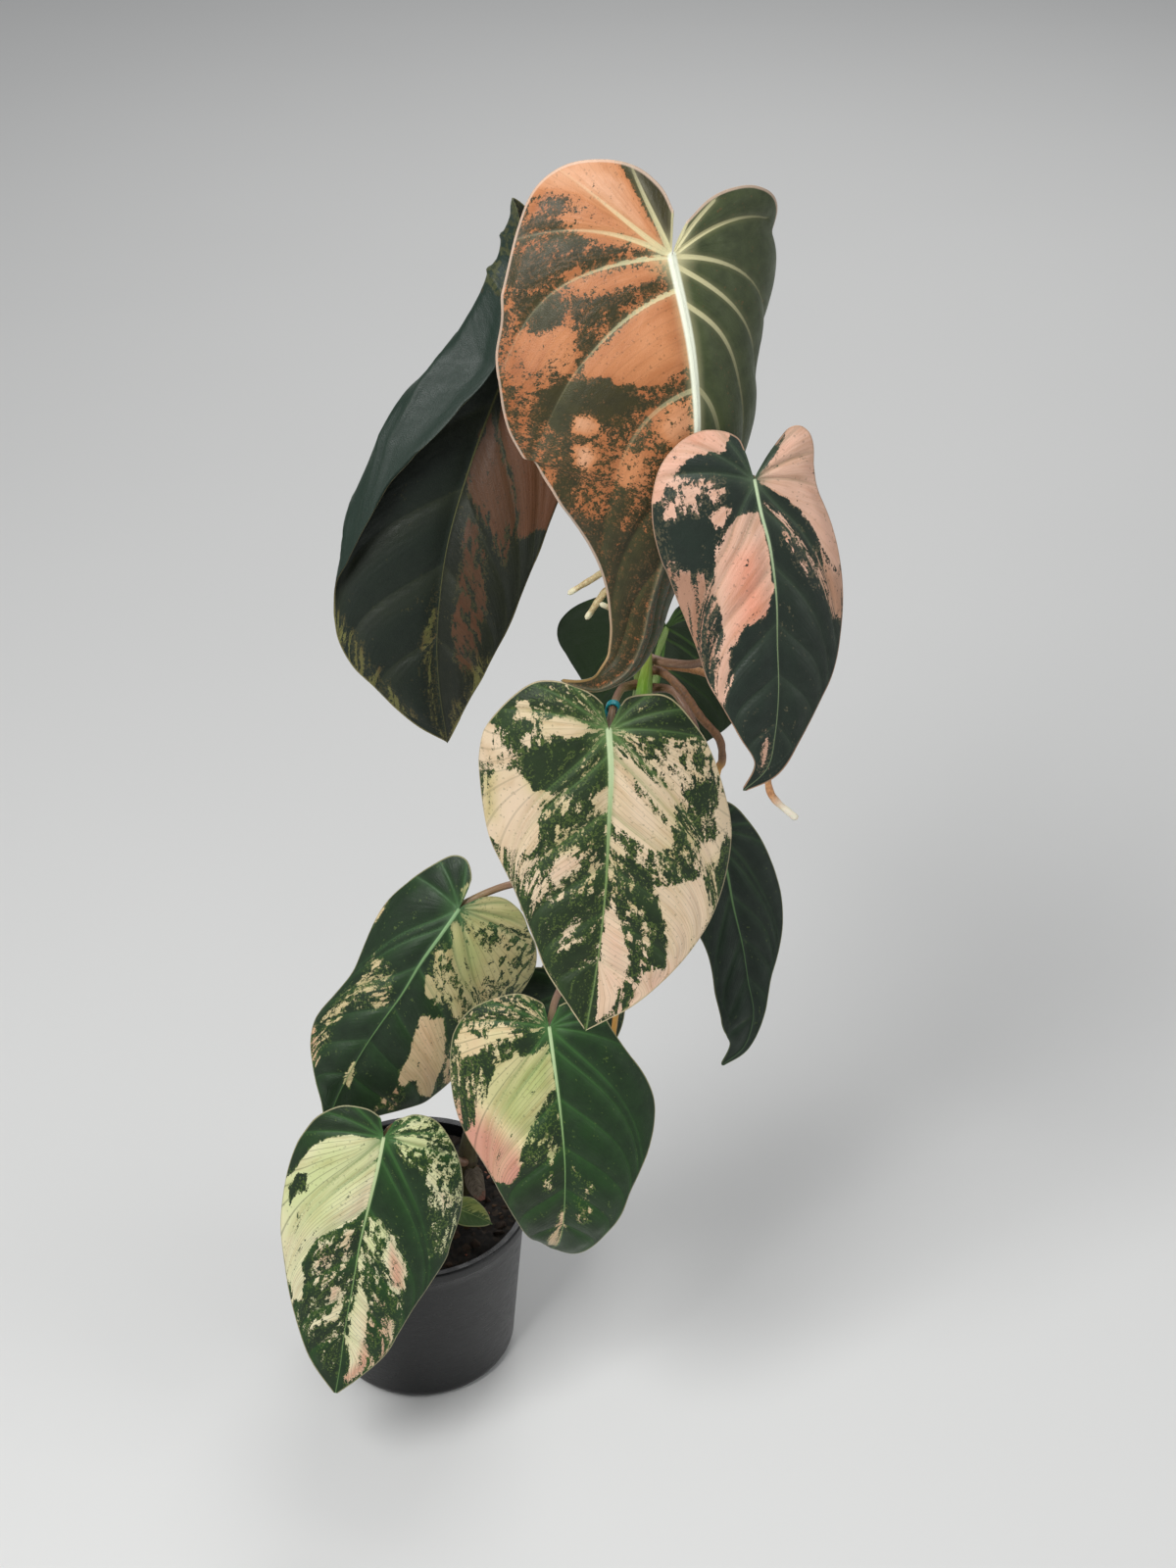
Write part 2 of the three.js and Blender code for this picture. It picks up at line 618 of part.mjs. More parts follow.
// The block that ends a petiole: its lower face lies behind the midrib's thick upper end.
function petioleStop(spec) {
  const size = 30;
  const { origin, tip, up, right } = new Leaf(spec).frame(SEAT);
  const depth = BLADE + RIB_DEPTH * spec.width + GAP;
  const block = new THREE.BoxGeometry(size, size, size);
  block.applyMatrix4(new THREE.Matrix4().makeBasis(tip, right, up));
  origin.addScaledVector(up, size / 2 - depth);
  return solid(block.translate(origin.x, origin.y, origin.z));
}

function petiolePath(spec) {
  const { origin, up } = new Leaf(LEAVES[spec.leaf]).frame(SEAT);
  const neck = origin.clone().addScaledVector(up, -3 * spec.radius[1]);
  return new Path([spec.ground ?? onAxis(spec.height), ...spec.path, neck.toArray(), origin.toArray()]);
}

// A petiole runs from the stem's axis to its blade, and is cut back from both by the gap.
function petioleGeometry(spec) {
  const path = petiolePath(spec);
  const [foot, head] = spec.radius;
  const radii = (t) => foot + (head - foot) * Math.sqrt(t);
  const rings = Math.max(9, Math.round(path.length / 13));
  let petiole = solid(tube(path, radii, 7, rings, 0, 0.09));
  petiole = petiole.subtract(petioleStop(LEAVES[spec.leaf]));
  if (!spec.ground) {
    petiole = petiole.subtract(stemGrown);
  }
  return backToGeometry(petiole);
}

function rootGeometry(spec) {
  const path = new Path([onAxis(spec.height), ...spec.path]);
  const [foot, head] = spec.radius;
  const radii = (t) => (foot + (head - foot) * t) * (t > 0.99 ? 0.55 : 1);
  const root = solid(tube(path, radii, 7, Math.max(6, Math.round(path.length / 10))));
  return backToGeometry(root.subtract(stemGrown));
}

const wallRadius = (z) => THREE.MathUtils.lerp(POT.baseRadius, POT.rimRadius - POT.lipOut, z / POT.height);

function potSolid() {
  const arc = [];
  const corner = 5;
  for (let k = 0; k <= corner; k += 1) {
    const a = (Math.PI / 2) * (k / corner);
    const r = wallRadius(POT.edgeRadius) - POT.edgeRadius * (1 - Math.sin(a));
    arc.push([r, POT.edgeRadius * (1 - Math.cos(a))]);
  }
  const lipFoot = POT.height - POT.lipDepth;
  const inner = (z) => wallRadius(z) - POT.wall;
  const profile = [
    [0, 0], ...arc, [wallRadius(lipFoot), lipFoot], [POT.rimRadius, lipFoot + 1.2],
    [POT.rimRadius, POT.height - 1], [POT.rimRadius - 1, POT.height], [inner(POT.height), POT.height],
    [inner(POT.edgeRadius), POT.edgeRadius], [inner(0) - POT.edgeRadius, POT.baseThick], [0, POT.baseThick],
  ];
  let pot = solid(lathe(profile));
  for (let k = 0; k < DRAIN.count; k += 1) {
    const a = (2 * Math.PI * (k + 0.5)) / DRAIN.count;
    const hole = new THREE.CylinderGeometry(DRAIN.holeRadius, DRAIN.holeRadius, 8, 16);
    hole.rotateX(Math.PI / 2);
    hole.translate(DRAIN.ringRadius * Math.cos(a), DRAIN.ringRadius * Math.sin(a), 0);
    pot = pot.subtract(solid(hole));
  }
  return backToGeometry(pot);
}

// A body turned about Z from a profile of [radius, height] that runs from the axis to the axis.
function lathe(profile) {
  const geometry = new THREE.LatheGeometry(profile.map(([r, z]) => new THREE.Vector2(r, z)), POT.sides);
  geometry.rotateX(Math.PI / 2);
  return geometry;
}

function soilSolid() {
  const inner = (z) => wallRadius(z) - POT.wall - GAP;
  const floor = POT.baseThick + GAP;
  const rings = 6;
  const corner = [inner(POT.edgeRadius), POT.edgeRadius + GAP];
  const profile = [[0, floor], [inner(0) - POT.edgeRadius, floor], corner];
  for (let k = rings; k >= 0; k -= 1) {
    profile.push([(inner(SOIL.level) * k) / rings, SOIL.level]);
  }
  const geometry = lathe(profile);
  const position = geometry.attributes.position;
  for (let i = 0; i < position.count; i += 1) {
    const [x, y, z] = [position.getX(i), position.getY(i), position.getZ(i)];
    const inward = 1 - Math.hypot(x, y) / inner(SOIL.level);
    if (z > SOIL.level - 1 && inward > 0.01) {
      const wave = Math.sin(x * 0.13 + 1) * Math.cos(y * 0.11) + 0.5 * Math.sin(x * 0.31 - y * 0.27);
      position.setZ(i, z + SOIL.rise * Math.min(1, 4 * inward) * wave);
    }
  }
  const small = PETIOLES.petiole_small;
  const petioleHole = tube(petiolePath(small), () => small.radius[0] + GAP, 7, 8, GAP);
  const soil = solid(geometry).subtract(stemGrown).subtract(solid(petioleHole));
  return backToGeometry(soil);
}

// The pointed sheath of the side shoot at the upper node.
function shootGeometry() {
  const path = new Path([onAxis(401), [115, 7, 407], [116, 4, 421], [118, 3, 439]]);
  const shoot = solid(tube(path, (t) => 4.1 * (1 - 0.93 * t ** 2.2), 8, 8));
  return backToGeometry(shoot.subtract(stemGrown));
}

// A dried sheath leaf that stands at the foot of the stem.
function drySheathGeometry() {
  return bladeGeometry({
    rib: [[30, 4.9, 116], [31, 4.1, 111], [32.5, 1, 106], [35, -3.4, 102]],
    face: [0.1, -1, 0.4],
    width: 6,
    nape: 5,
    veins: 2,
    fold: { left: [[-5, 0, -40], [20, 10, -30]], right: [[-5, 0, -40], [20, 10, -30]] },
    left: [[2.5, -0.5], [4.5, 1], [6, 5], [6, 9], [4, 14], [1, 18]],
    right: [[2.5, -0.5], [4, 2], [4.5, 5], [4, 10], [3, 14], [1, 18]],
  });
}

function clipGeometry() {
  const path = petiolePath(PETIOLES.petiole_d);
  const place = path.at(CLIP.share * path.length);
  const half = CLIP.width / 2;
  const { inner, outer } = CLIP;
  const section = [[inner, -half], [outer, -half], [outer, half], [inner, half], [inner, -half]];
  const ring = new THREE.LatheGeometry(section.map(([r, y]) => new THREE.Vector2(r, y)), 20);
  const tail = new THREE.BoxGeometry(CLIP.tail[0], CLIP.tail[1], CLIP.tail[2]);
  tail.translate(0, 0, -(CLIP.outer + CLIP.tail[2] / 2 - 1.2));
  const clip = backToGeometry(solid(ring).add(solid(tail)));
  const turn = new THREE.Quaternion().setFromUnitVectors(
    new THREE.Vector3(0, 1, 0),
    path.tangent(CLIP.share * path.length),
  );
  clip.applyQuaternion(turn);
  clip.translate(place.x, place.y, place.z);
  return clip;
}

const plant = new THREE.Group();

function add(name, geometry, colour, roughness) {
  const material = new THREE.MeshStandardMaterial({ color: colour, roughness, metalness: 0 });
  const mesh = new THREE.Mesh(geometry, material);
  mesh.name = name;
  plant.add(mesh);
}

add('pot', potSolid(), COLOUR.pot, 0.5);
add('potting_mix', soilSolid(), COLOUR.soil, 0.95);
add('stem', tube(stemPath, stemRadius, STEM.sides, STEM.rings), COLOUR.stem, 0.6);
add('shoot_sheath', shootGeometry(), COLOUR.bud, 0.5);
add('dry_sheath', drySheathGeometry(), COLOUR.dry, 0.9);
for (const [name, spec] of Object.entries(LEAVES)) {
  add(name, bladeGeometry(spec), spec.colour, 0.55);
}
for (const [name, spec] of Object.entries(PETIOLES)) {
  add(name, petioleGeometry(spec), spec.colour, 0.6);
}
for (const [name, spec] of Object.entries(ROOTS)) {
  add(name, rootGeometry(spec), spec.colour, 0.7);
}
add('clip', clipGeometry(), COLOUR.clip, 0.4);

export default plant;
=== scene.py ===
# %% [markdown]
# # A variegated philodendron in its nursery pot
#
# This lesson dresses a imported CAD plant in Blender. The CAD part is the frame: it says where the
# pot, the stem, every leaf blade and every petiole stand. Each piece made here stands in for one
# CAD piece and keeps its form, and adds what a coarse solid can't hold: sunken veins, a pale edge,
# velvet, and the orange, pink and cream sectors that no two leaves share.
#
# A leaf could be sculpted, or cut from a flat plane and bent with modifiers. Here it is computed
# from flat measurements instead: a point is given by how far it is out from the midrib and how far
# along it, and one function bends that flat point into space. Veins and colour sectors are then
# drawn on the flat leaf, where they are easy to measure, and they follow every fold.

# %% The frame
import math

import bmesh
import bpy
import numpy as np
from mathutils import Matrix, Vector


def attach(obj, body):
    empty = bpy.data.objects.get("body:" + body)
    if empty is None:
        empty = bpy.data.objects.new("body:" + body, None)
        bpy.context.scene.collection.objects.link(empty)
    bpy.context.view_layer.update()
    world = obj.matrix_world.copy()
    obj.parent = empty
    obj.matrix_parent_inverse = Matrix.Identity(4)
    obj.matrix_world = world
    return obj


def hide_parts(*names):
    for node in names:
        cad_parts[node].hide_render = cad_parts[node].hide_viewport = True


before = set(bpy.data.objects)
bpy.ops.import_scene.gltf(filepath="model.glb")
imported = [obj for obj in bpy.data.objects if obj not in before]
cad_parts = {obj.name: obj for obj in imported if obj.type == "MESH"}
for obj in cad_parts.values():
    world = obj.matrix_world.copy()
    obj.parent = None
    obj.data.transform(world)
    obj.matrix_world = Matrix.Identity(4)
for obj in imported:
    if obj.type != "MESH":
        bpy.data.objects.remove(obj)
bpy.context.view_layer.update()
MM = 0.001
print("CAD nodes:", len(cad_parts))

# %% [markdown]
# ## The camera
#
# The plant was photographed from a little above, with a long lens, so that its hanging leaves are
# seen from the front and the pot's rim from above. Blender's sensor width runs along the longer
# side of an upright picture, so 36 mm stands for the picture's height.

# %% Camera
LOOKING_DOWN = 35  # degrees
camera_data = bpy.data.cameras.new("camera")
camera_data.lens = 56.25
camera_data.sensor_width = 36
camera = bpy.data.objects.new("camera", camera_data)
camera.location = (0.090, -0.927, 1.014)
camera.rotation_euler = (math.radians(90 - LOOKING_DOWN), 0, 0)
bpy.context.scene.collection.objects.link(camera)
bpy.context.scene.camera = camera
print("camera at", tuple(round(c, 3) for c in camera.location))

# %% [markdown]
# ## Curves that are read by distance
#
# Midribs, petioles, roots and margins are all smooth curves through a few measured points. A
# Catmull-Rom curve passes through each of its points, so a number in a list is a place on the
# plant. Reading it by distance in millimetres keeps rings and veins evenly spaced.


# %% Curve helpers
def pairs(*numbers):
    """Flat places in mm: out from the midrib, along it. A pair has no space inside."""
    return np.array(numbers, float).reshape(-1, 2)


def threes(*numbers):
    """Places in space in mm, x, y and z. A three has no space inside."""
    return np.array(numbers, float).reshape(-1, 3)


def unit(v):
    return v / np.linalg.norm(v, axis=-1, keepdims=True)


def smooth(x):
    """A soft step from 0 to 1."""
    t = np.clip(x, 0, 1)
    return t * t * (3 - 2 * t)


def bell(distance, width):
    """1 on a line, fading away on both sides of it."""
    return np.exp(-((distance / width) ** 2))


def lerp(a, b, t):
    return a + (b - a) * t


class Path:
    """A smooth curve through points, with its length measured."""

    def __init__(self, points, samples=240):
        p = np.asarray(points, float)
        p = np.vstack([2 * p[0] - p[1], p, 2 * p[-1] - p[-2]])
        place = np.linspace(0, len(p) - 3, samples + 1)
        k = np.minimum(place.astype(int), len(p) - 4)
        t = (place - k)[:, None]
        a, b, c, d = p[k], p[k + 1], p[k + 2], p[k + 3]
        bend = 2 * a - 5 * b + 4 * c - d
        twist = 3 * b - a - 3 * c + d
        self.points = 0.5 * (2 * b + (c - a) * t + bend * t**2 + twist * t**3)
        steps = np.linalg.norm(np.diff(self.points, axis=0), axis=1)
        self.arc = np.concatenate([[0], np.cumsum(steps)])
        self.length = self.arc[-1]

    def at(self, distance):
        d = np.clip(distance, 0, self.length)
        columns = [np.interp(d, self.arc, self.points[:, k]) for k in range(self.points.shape[1])]
        return np.stack(columns, -1)

    def tangent(self, distance):
        h = self.length * 0.02
        return unit(self.at(np.asarray(distance) + h) - self.at(np.asarray(distance) - h))


# %% [markdown]
# ## One leaf blade as a bent sheet
#
# A philodendron leaf is a heart with two lobes behind the petiole's end. It hangs from that end,
# its midrib curves like a bow, its halves rise a little from the midrib like a shallow V, and its
# margins turn down. Each of these is one short list here: the midrib's points, the fold of each
# half, and how the lobes bend back. A fold that changes along the leaf is a row for each station.


# %% Flat leaf to space
class Blade:
    """The surface of one leaf: flat coordinates (out from the midrib, along it) to space."""

    def __init__(self, spec):
        self.spec = spec
        self.rib = Path(spec["rib"])
        self.length = self.rib.length
        self.lean = math.tan(math.radians(spec.get("lean", 0)))
        self.nape_turn = math.radians(spec["nape"]) / spec["width"]
        self.margin = {side: Path(spec[side]) for side in ("left", "right")}

    def frame(self, along):
        """The midrib's point, the direction to the tip, up from the face, and right."""
        v = np.clip(along, 0, self.length)
        origin = self.rib.at(v)
        tip = self.rib.tangent(v)
        start = np.array(self.spec["face"], float)
        end = np.array(self.spec.get("face_tip", self.spec["face"]), float)
        face = lerp(start, end, (v / self.length)[..., None])
        up = unit(face - (face * tip).sum(-1, keepdims=True) * tip)
        right = np.cross(up, tip)
        turn = (-np.minimum(along, 0) * self.nape_turn)[..., None]
        back = np.sin(turn) / self.nape_turn
        origin = origin - tip * back - up * (1 - np.cos(turn)) / self.nape_turn
        origin = origin + right * self.lean * back
        return origin, tip, up * np.cos(turn) - tip * np.sin(turn), right

    def angle(self, side, out, along):
        """How far the half has turned from the leaf's plane, in radians."""
        rows = np.array(self.spec["fold"][side], float)
        k = np.clip(np.searchsorted(rows[:, 0], along, side="right") - 1, 0, len(rows) - 2)
        w = smooth((along - rows[k, 0]) / (rows[k + 1, 0] - rows[k, 0]))
        degrees = lerp(rows[k, 1], rows[k + 1, 1], w)
        degrees = degrees + lerp(rows[k, 2], rows[k + 1, 2], w) * out / self.spec["width"]
        if side in self.spec.get("roll", {}):
            rows = np.array(self.spec["roll"][side], float)
            start, wide, turn = (np.interp(along, rows[:, 0], rows[:, c]) for c in (1, 2, 3))
            degrees = degrees + turn * smooth((out - start) / wide)
        return np.radians(degrees)

    def point(self, side, out, along, steps=32):
        """Walks out from the midrib in small steps, turning a little with each."""
        origin, _, up, right = self.frame(along)
        sign = 1 if side == "right" else -1
        across = np.zeros_like(out)
        rise = np.zeros_like(out)
        for k in range(steps):
            a = self.angle(side, out * (k + 0.5) / steps, along)
            across += np.cos(a) * out / steps
            rise += np.sin(a) * out / steps
        end = self.angle(side, out, along)[..., None]
        normal = up * np.cos(end) - right * sign * np.sin(end)
        return origin + right * (sign * across)[..., None] + up * rise[..., None], normal


# %% [markdown]
# ## The measured leaves
#
# Each leaf was measured from the photograph: its midrib in space, its margin flat. The numbers are
# those of the CAD part, so that the fine blade lies where the solid lies. The face is the way a
# blade looks, the width is a reference for its bends, the nape says by how many degrees the lobes
# bend back over that width, and the lean by how many they slant. The margin runs from the notch
# between the lobes round each half to the drip tip. A row of a fold says where along the leaf it
# is, the angle at the midrib, and how much further the half turns out to the reference width. A
# row of a roll says where it is, where the roll starts, how wide its turn is, and how far it turns.
# The largest leaf shows its veins so clearly that they were measured too, each by four points.

# %% Leaf measurements
LEAVES = {}


def leaf(name, **measures):
    """Keeps the measures of one blade, in mm and degrees."""
    LEAVES[name] = measures
    print(name, "is", round(Path(measures["rib"]).length), "mm from the petiole to its tip")


def steady(angle, turn):
    """A fold that is the same all along the leaf."""
    return [(0, angle, turn), (1, angle, turn)]


leaf("leaf_a", width=80, nape=35, lean=18, face=(0, -1, 0.35), face_tip=(0.1, -0.95, 0.3),
    rib=threes(123,-18,631, 131,-32,598, 134,-40,566, 132,-44,541, 126,-46,522, 120,-47,504, 116,-48,488,
        113,-50,473, 107,-53,460, 96,-57,454, 87,-61,457, 79,-64,462),
    left=pairs(1,-17, 7,-27, 18,-37, 32,-43, 48,-45, 60,-39, 66,-24, 71,4, 78,22, 79,42, 78,63, 73,84,
        64,106, 53,115, 42,124, 31,133, 24,141, 18,153, 14,169, 10,187, 4,203, 1,214),
    right=pairs(5,-12, 14,-19, 24,-22, 36,-22, 50,-17, 63,-6, 72,10, 76,32, 76,60, 70,88, 60,110, 48,128,
        36,142, 26,156, 18,172, 10,190, 4,203, 1,214),
    fold=dict(
        left=[(-40, 6, -24), (60, 6, -24), (115, 8, -20), (160, -8, -45), (240, -15, -60)],
        right=[(-40, -12, -50), (0, -10, -88), (60, -25, -98), (110, -35, -100), (160, -50, -90),
            (215, -70, -40)]),
    veins=dict(
        left=[pairs(0,0, 6,-12, 15,-26, 21,-40), pairs(0,0, 14,-11, 32,-28, 50,-44),
            pairs(0,0, 20,-13, 42,-22, 66,-21), pairs(0,0, 26,-4, 60,-4, 75,28),
            pairs(0,13, 36,17, 62,44, 67,98), pairs(0,53, 24,58, 42,82, 24,141),
            pairs(0,92, 14,98, 22,120, 14,168), pairs(0,132, 7,140, 11,160, 6,198)],
        right=[pairs(0,0, 5,-8, 10,-13, 16,-18), pairs(0,0, 14,-8, 26,-12, 50,-8),
            pairs(0,0, 20,4, 40,14, 62,44), pairs(0,3, 14,16, 34,30, 56,72),
            pairs(0,18, 14,32, 26,38, 34,104), pairs(0,52, 9,60, 15,76, 18,130),
            pairs(0,92, 8,100, 12,120, 12,160), pairs(0,132, 5,142, 8,160, 6,192)]))
leaf("leaf_b", width=70, nape=30, face=(0.15, -1, 0.3),
    rib=threes(72,50,592, 62,42,571, 50,33,545, 38,23,515, 28,13,482, 23,5,446, 23,0,419, 26,-2,389),
    left=pairs(8,-15, 14,-21, 26,-25, 38,-18, 43,-2, 46,17, 51,35, 60,51, 66,69, 67,85, 63,100, 62,111,
        58,123, 53,135, 48,147, 46,160, 44,168, 38,177, 30,185, 20,197, 11,208, 1,218),
    right=pairs(6,-13, 12,-19, 22,-22, 33,-16, 40,-3, 43,20, 44,50, 42,80, 41,98, 40,116, 36,140, 31,160,
        22,182, 11,201, 1,218),
    fold=dict(
        left=[(-40, 12, -50), (110, 12, -50), (220, 14, -50)],
        right=[(-40, 20, -30), (110, 22, -30), (220, 16, -40)]),
    roll=dict(left=[(-30, 20, 14, 110), (0, 17, 16, 150), (40, 20, 16, 165), (60, 28, 16, 170),
        (85, 35, 16, 170), (110, 38, 15, 165), (135, 39, 13, 150), (155, 41, 10, 110), (170, 44, 8, 0),
        (230, 44, 8, 0)]))
leaf("leaf_c", width=48, nape=30, lean=6, face=(0.15, -1, 0.35),
    rib=threes(157,-50,549, 160,-54,536, 164,-58,522, 167,-63,502, 168,-68,482, 169,-73,463, 168,-78,444,
        165,-83,431, 155,-88,423),
    left=pairs(3,-13, 5,-18, 11,-22, 20,-24, 30,-21, 39,-12, 44,5, 45,22, 42,42, 38,58, 33,72, 29,86, 23,98,
        16,110, 9,120, 4,130, 1,137),
    right=pairs(10,-12, 16,-17, 22,-16, 26,-8, 28,15, 32,36, 33,54, 31,72, 27,84, 20,95, 14,106, 9,117,
        4,128, 1,137),
    fold=dict(left=steady(10, -42), right=[(-30, 16, -20), (10, 2, -62), (150, 2, -62)]))
leaf("leaf_d", width=62, nape=35, face=(0, -1, 0.35),
    rib=threes(99,-50,428, 100,-56,409, 99,-63,383, 98,-69,361, 96,-76,339, 93,-83,316, 89,-92,294),
    left=pairs(2,-12, 6,-16, 13,-20, 23,-23, 33,-22, 46,-13, 57,0, 61,14, 60,33, 55,53, 48,66, 41,78, 35,90,
        28,104, 23,114, 17,122, 10,130, 1,140),
    right=pairs(6,-11, 9,-14, 16,-15, 25,-14, 32,-8, 40,4, 45,14, 51,27, 56,42, 57,55, 55,69, 51,82, 46,92,
        38,104, 27,117, 17,127, 7,135, 1,140),
    fold=dict(left=steady(12, -50), right=steady(12, -50)))
leaf("leaf_e", width=48, nape=25, face=(0.6, -1, 0.3),
    rib=threes(149,0,338, 155,-3,319, 159,-7,299, 164,-11,278, 167,-15,260, 170,-20,243, 166,-25,227,
        155,-29,218),
    left=pairs(4,-11, 8,-15, 17,-16, 25,-8, 28,8, 26,25, 22,42, 19,55, 18,70, 18,86, 17,103, 12,114, 6,123,
        1,131),
    right=pairs(5,-10, 9,-12, 14,-6, 19,8, 22,20, 25,33, 26,46, 24,59, 19,72, 12,86, 7,98, 4,112, 1,131),
    fold=dict(left=steady(0, -30), right=[(-30, 22, -45), (150, 5, -40)]))
leaf("leaf_f", width=52, nape=25, face=(0.1, -1, 0.3),
    rib=threes(29,-15,303, 21,-19,292, 11,-23,278, 1,-27,261, -9,-31,247, -18,-34,233, -28,-38,215,
        -34,-40,201, -38,-42,190),
    left=pairs(2,-12, 4,-17, 10,-22, 17,-20, 23,-10, 28,2, 32,15, 33,26, 31,38, 29,50, 27,62, 28,75, 30,90,
        26,100, 20,107, 13,115, 6,124, 1,134),
    right=pairs(6,-11, 10,-14, 17,-16, 27,-14, 36,-8, 46,-1, 54,9, 57,22, 57,40, 56,60, 54,77, 51,89, 47,98,
        42,107, 33,115, 23,121, 11,128, 1,134),
    fold=dict(left=steady(-10, -75), right=steady(6, -40)))
leaf("leaf_g", width=50, nape=30, lean=6, face=(0.05, -1, 0.35),
    rib=threes(72,-58,267, 74,-64,252, 77,-73,229, 79,-82,206, 79,-87,187, 78,-88,169, 76,-84,153,
        72,-76,141),
    left=pairs(2,-10, 4,-13, 14,-18, 26,-17, 37,-13, 45,-4, 50,10, 52,26, 51,40, 47,52, 40,66, 32,83,
        22,103, 12,122, 1,135),
    right=pairs(5,-10, 9,-11, 16,-8, 25,-3, 30,7, 36,19, 43,32, 47,44, 46,55, 42,66, 37,75, 32,85, 28,97,
        22,108, 14,121, 1,135),
    fold=dict(left=steady(10, -42), right=steady(10, -48)))
leaf("leaf_h", width=48, nape=30, face=(-0.05, -1, 0.35),
    rib=threes(-8,-62,201, -11,-67,187, -16,-73,167, -21,-79,147, -25,-85,126, -30,-91,100, -33,-96,80,
        -36,-100,64),
    left=pairs(3.5,-10, 5,-11, 11,-13, 22,-12, 31,-6, 37,2, 42,15, 44,34, 42,56, 37,74, 31,93, 23,111,
        14,129, 1,145),
    right=pairs(4,-10, 7,-12, 14,-15, 24,-13, 34,-2, 42,14, 46,32, 45,50, 44,62, 38,76, 32,89, 27,104,
        22,118, 12,131, 1,145),
    fold=dict(left=steady(10, -42), right=steady(10, -45)))
leaf("leaf_i", width=50, nape=25, face=(0.05, 1, -0.1),
    rib=threes(126,44,424, 125,46,407, 123,47,388, 121,47,369, 118,45,351, 115,42,335),
    left=pairs(4,-10, 8,-14, 20,-18, 34,-14, 45,-6, 50,6, 49,22, 44,38, 36,52, 27,62, 17,73, 8,82, 1,89),
    right=pairs(4,-10, 8,-14, 20,-18, 34,-14, 44,-9, 50,-1, 50,9, 44,24, 36,37, 28,50, 18,66, 8,80, 1,89),
    fold=dict(left=steady(8, -30), right=steady(8, -30)))
leaf("leaf_j", width=40, nape=25, face=(-0.1, -1, 0.2),
    rib=threes(83,6,238, 80,2,224, 77,-4,212, 74,-10,199, 72,-16,188),
    left=pairs(4,-8, 10,-9, 16,-7, 22,-5, 28,0, 31,10, 30,22, 24,34, 14,44, 5,51, 1,55),
    right=pairs(4,-8, 12,-9, 20,-6, 26,2, 28,14, 25,26, 16,40, 6,50, 1,55),
    fold=dict(left=steady(8, -40), right=steady(8, -40)))
leaf("leaf_small", width=14, nape=20, face=(0, -0.4, 1),
    rib=threes(20,-17,111, 27,-21,111, 34,-23,109, 41,-24,105),
    left=pairs(2.5,-1.8, 4,-2, 7,3, 8,9, 6,15, 3,20, 1,22),
    right=pairs(2.5,-1.8, 4,-2, 7,3, 8,9, 6,15, 3,20, 1,22),
    fold=dict(left=steady(15, -25), right=steady(15, -25)))

# %% [markdown]
# ## Where the veins run
#
# A vein leaves the midrib at a wide angle and then curls round to run with the margin to the tip.
# The first few fan out from the petiole's end into the lobe. They could be painted, but on this
# plant they are grooves that a finger can feel, so their lines are wanted as numbers: the blade
# sinks along them, and the same lines carry the pale colour and steer the colour sectors. Where a
# leaf's veins weren't measured, one rule places them by shares of the margin and of the midrib.

# %% Vein lines
LOBE_VEINS = (0.07, 0.15, 0.235)  # where they end, as a share of the margin
SIDE_VEINS = (0.0, 0.07, 0.26, 0.44, 0.6, 0.76)  # where they start, as a share of the midrib
SIDE_MARGIN = 0.26  # the share of the margin where the side veins begin to end
PULLS = (0.35, 0.28), (0.82, 0.58)  # what bends a side vein: shares of the width and of its drop
VEIN_BOW = 0.14  # how far a lobe's vein or a grid line swings back, as a share of its length
MARGIN_STEPS = 400


def curve_of(points, count=40):
    """A Bezier curve through two ends, pulled by the one or two points between them."""
    p = [np.array(q, float) for q in points]
    t = np.linspace(0, 1, count)[:, None]
    if len(p) == 3:
        return (1 - t) ** 2 * p[0] + 2 * t * (1 - t) * p[1] + t**2 * p[2]
    return (1 - t) ** 3 * p[0] + 3 * t * (1 - t) ** 2 * p[1] + 3 * t**2 * (1 - t) * p[2] + t**3 * p[3]


def vein_lines(blade, side):
    """The veins of one half in flat coordinates, from the notch to the tip, and its two ends."""
    margin = blade.margin[side].at(np.linspace(0, blade.margin[side].length, MARGIN_STEPS))
    lines = [curve_of([(0, 0), margin[0] / 2, margin[0]])]
    if "veins" in blade.spec:
        lines += [curve_of(points) for points in blade.spec["veins"][side]]
        past_last_vein = (0, 150), (0, 180)
        return lines + [curve_of([*past_last_vein, (0, blade.length)])]
    for share in LOBE_VEINS:
        end = margin[int(share * MARGIN_STEPS)]
        lines.append(curve_of([(0, 0), end / 2 - (0, VEIN_BOW * np.hypot(*end)), end]))
    below = margin[int(SIDE_MARGIN * MARGIN_STEPS) :]
    for share in SIDE_VEINS:
        start = share * blade.length
        goal = start + (0.54 - 0.55 * share) * blade.length  # veins near the tip are shorter
        end = below[np.argmin(np.abs(below[:, 1] - goal))]
        drop = end[1] - start
        wide = below[(below[:, 1] >= start) & (below[:, 1] <= goal), 0].max(initial=end[0])
        pulls = [(x * wide, start + y * drop) for x, y in PULLS]
        lines.append(curve_of([(0, start), *pulls, end]))
    tip = np.array([0, blade.length])
    lines.append(curve_of([(0, SIDE_VEINS[-1] * blade.length), tip * 0.95, tip]))
    return lines


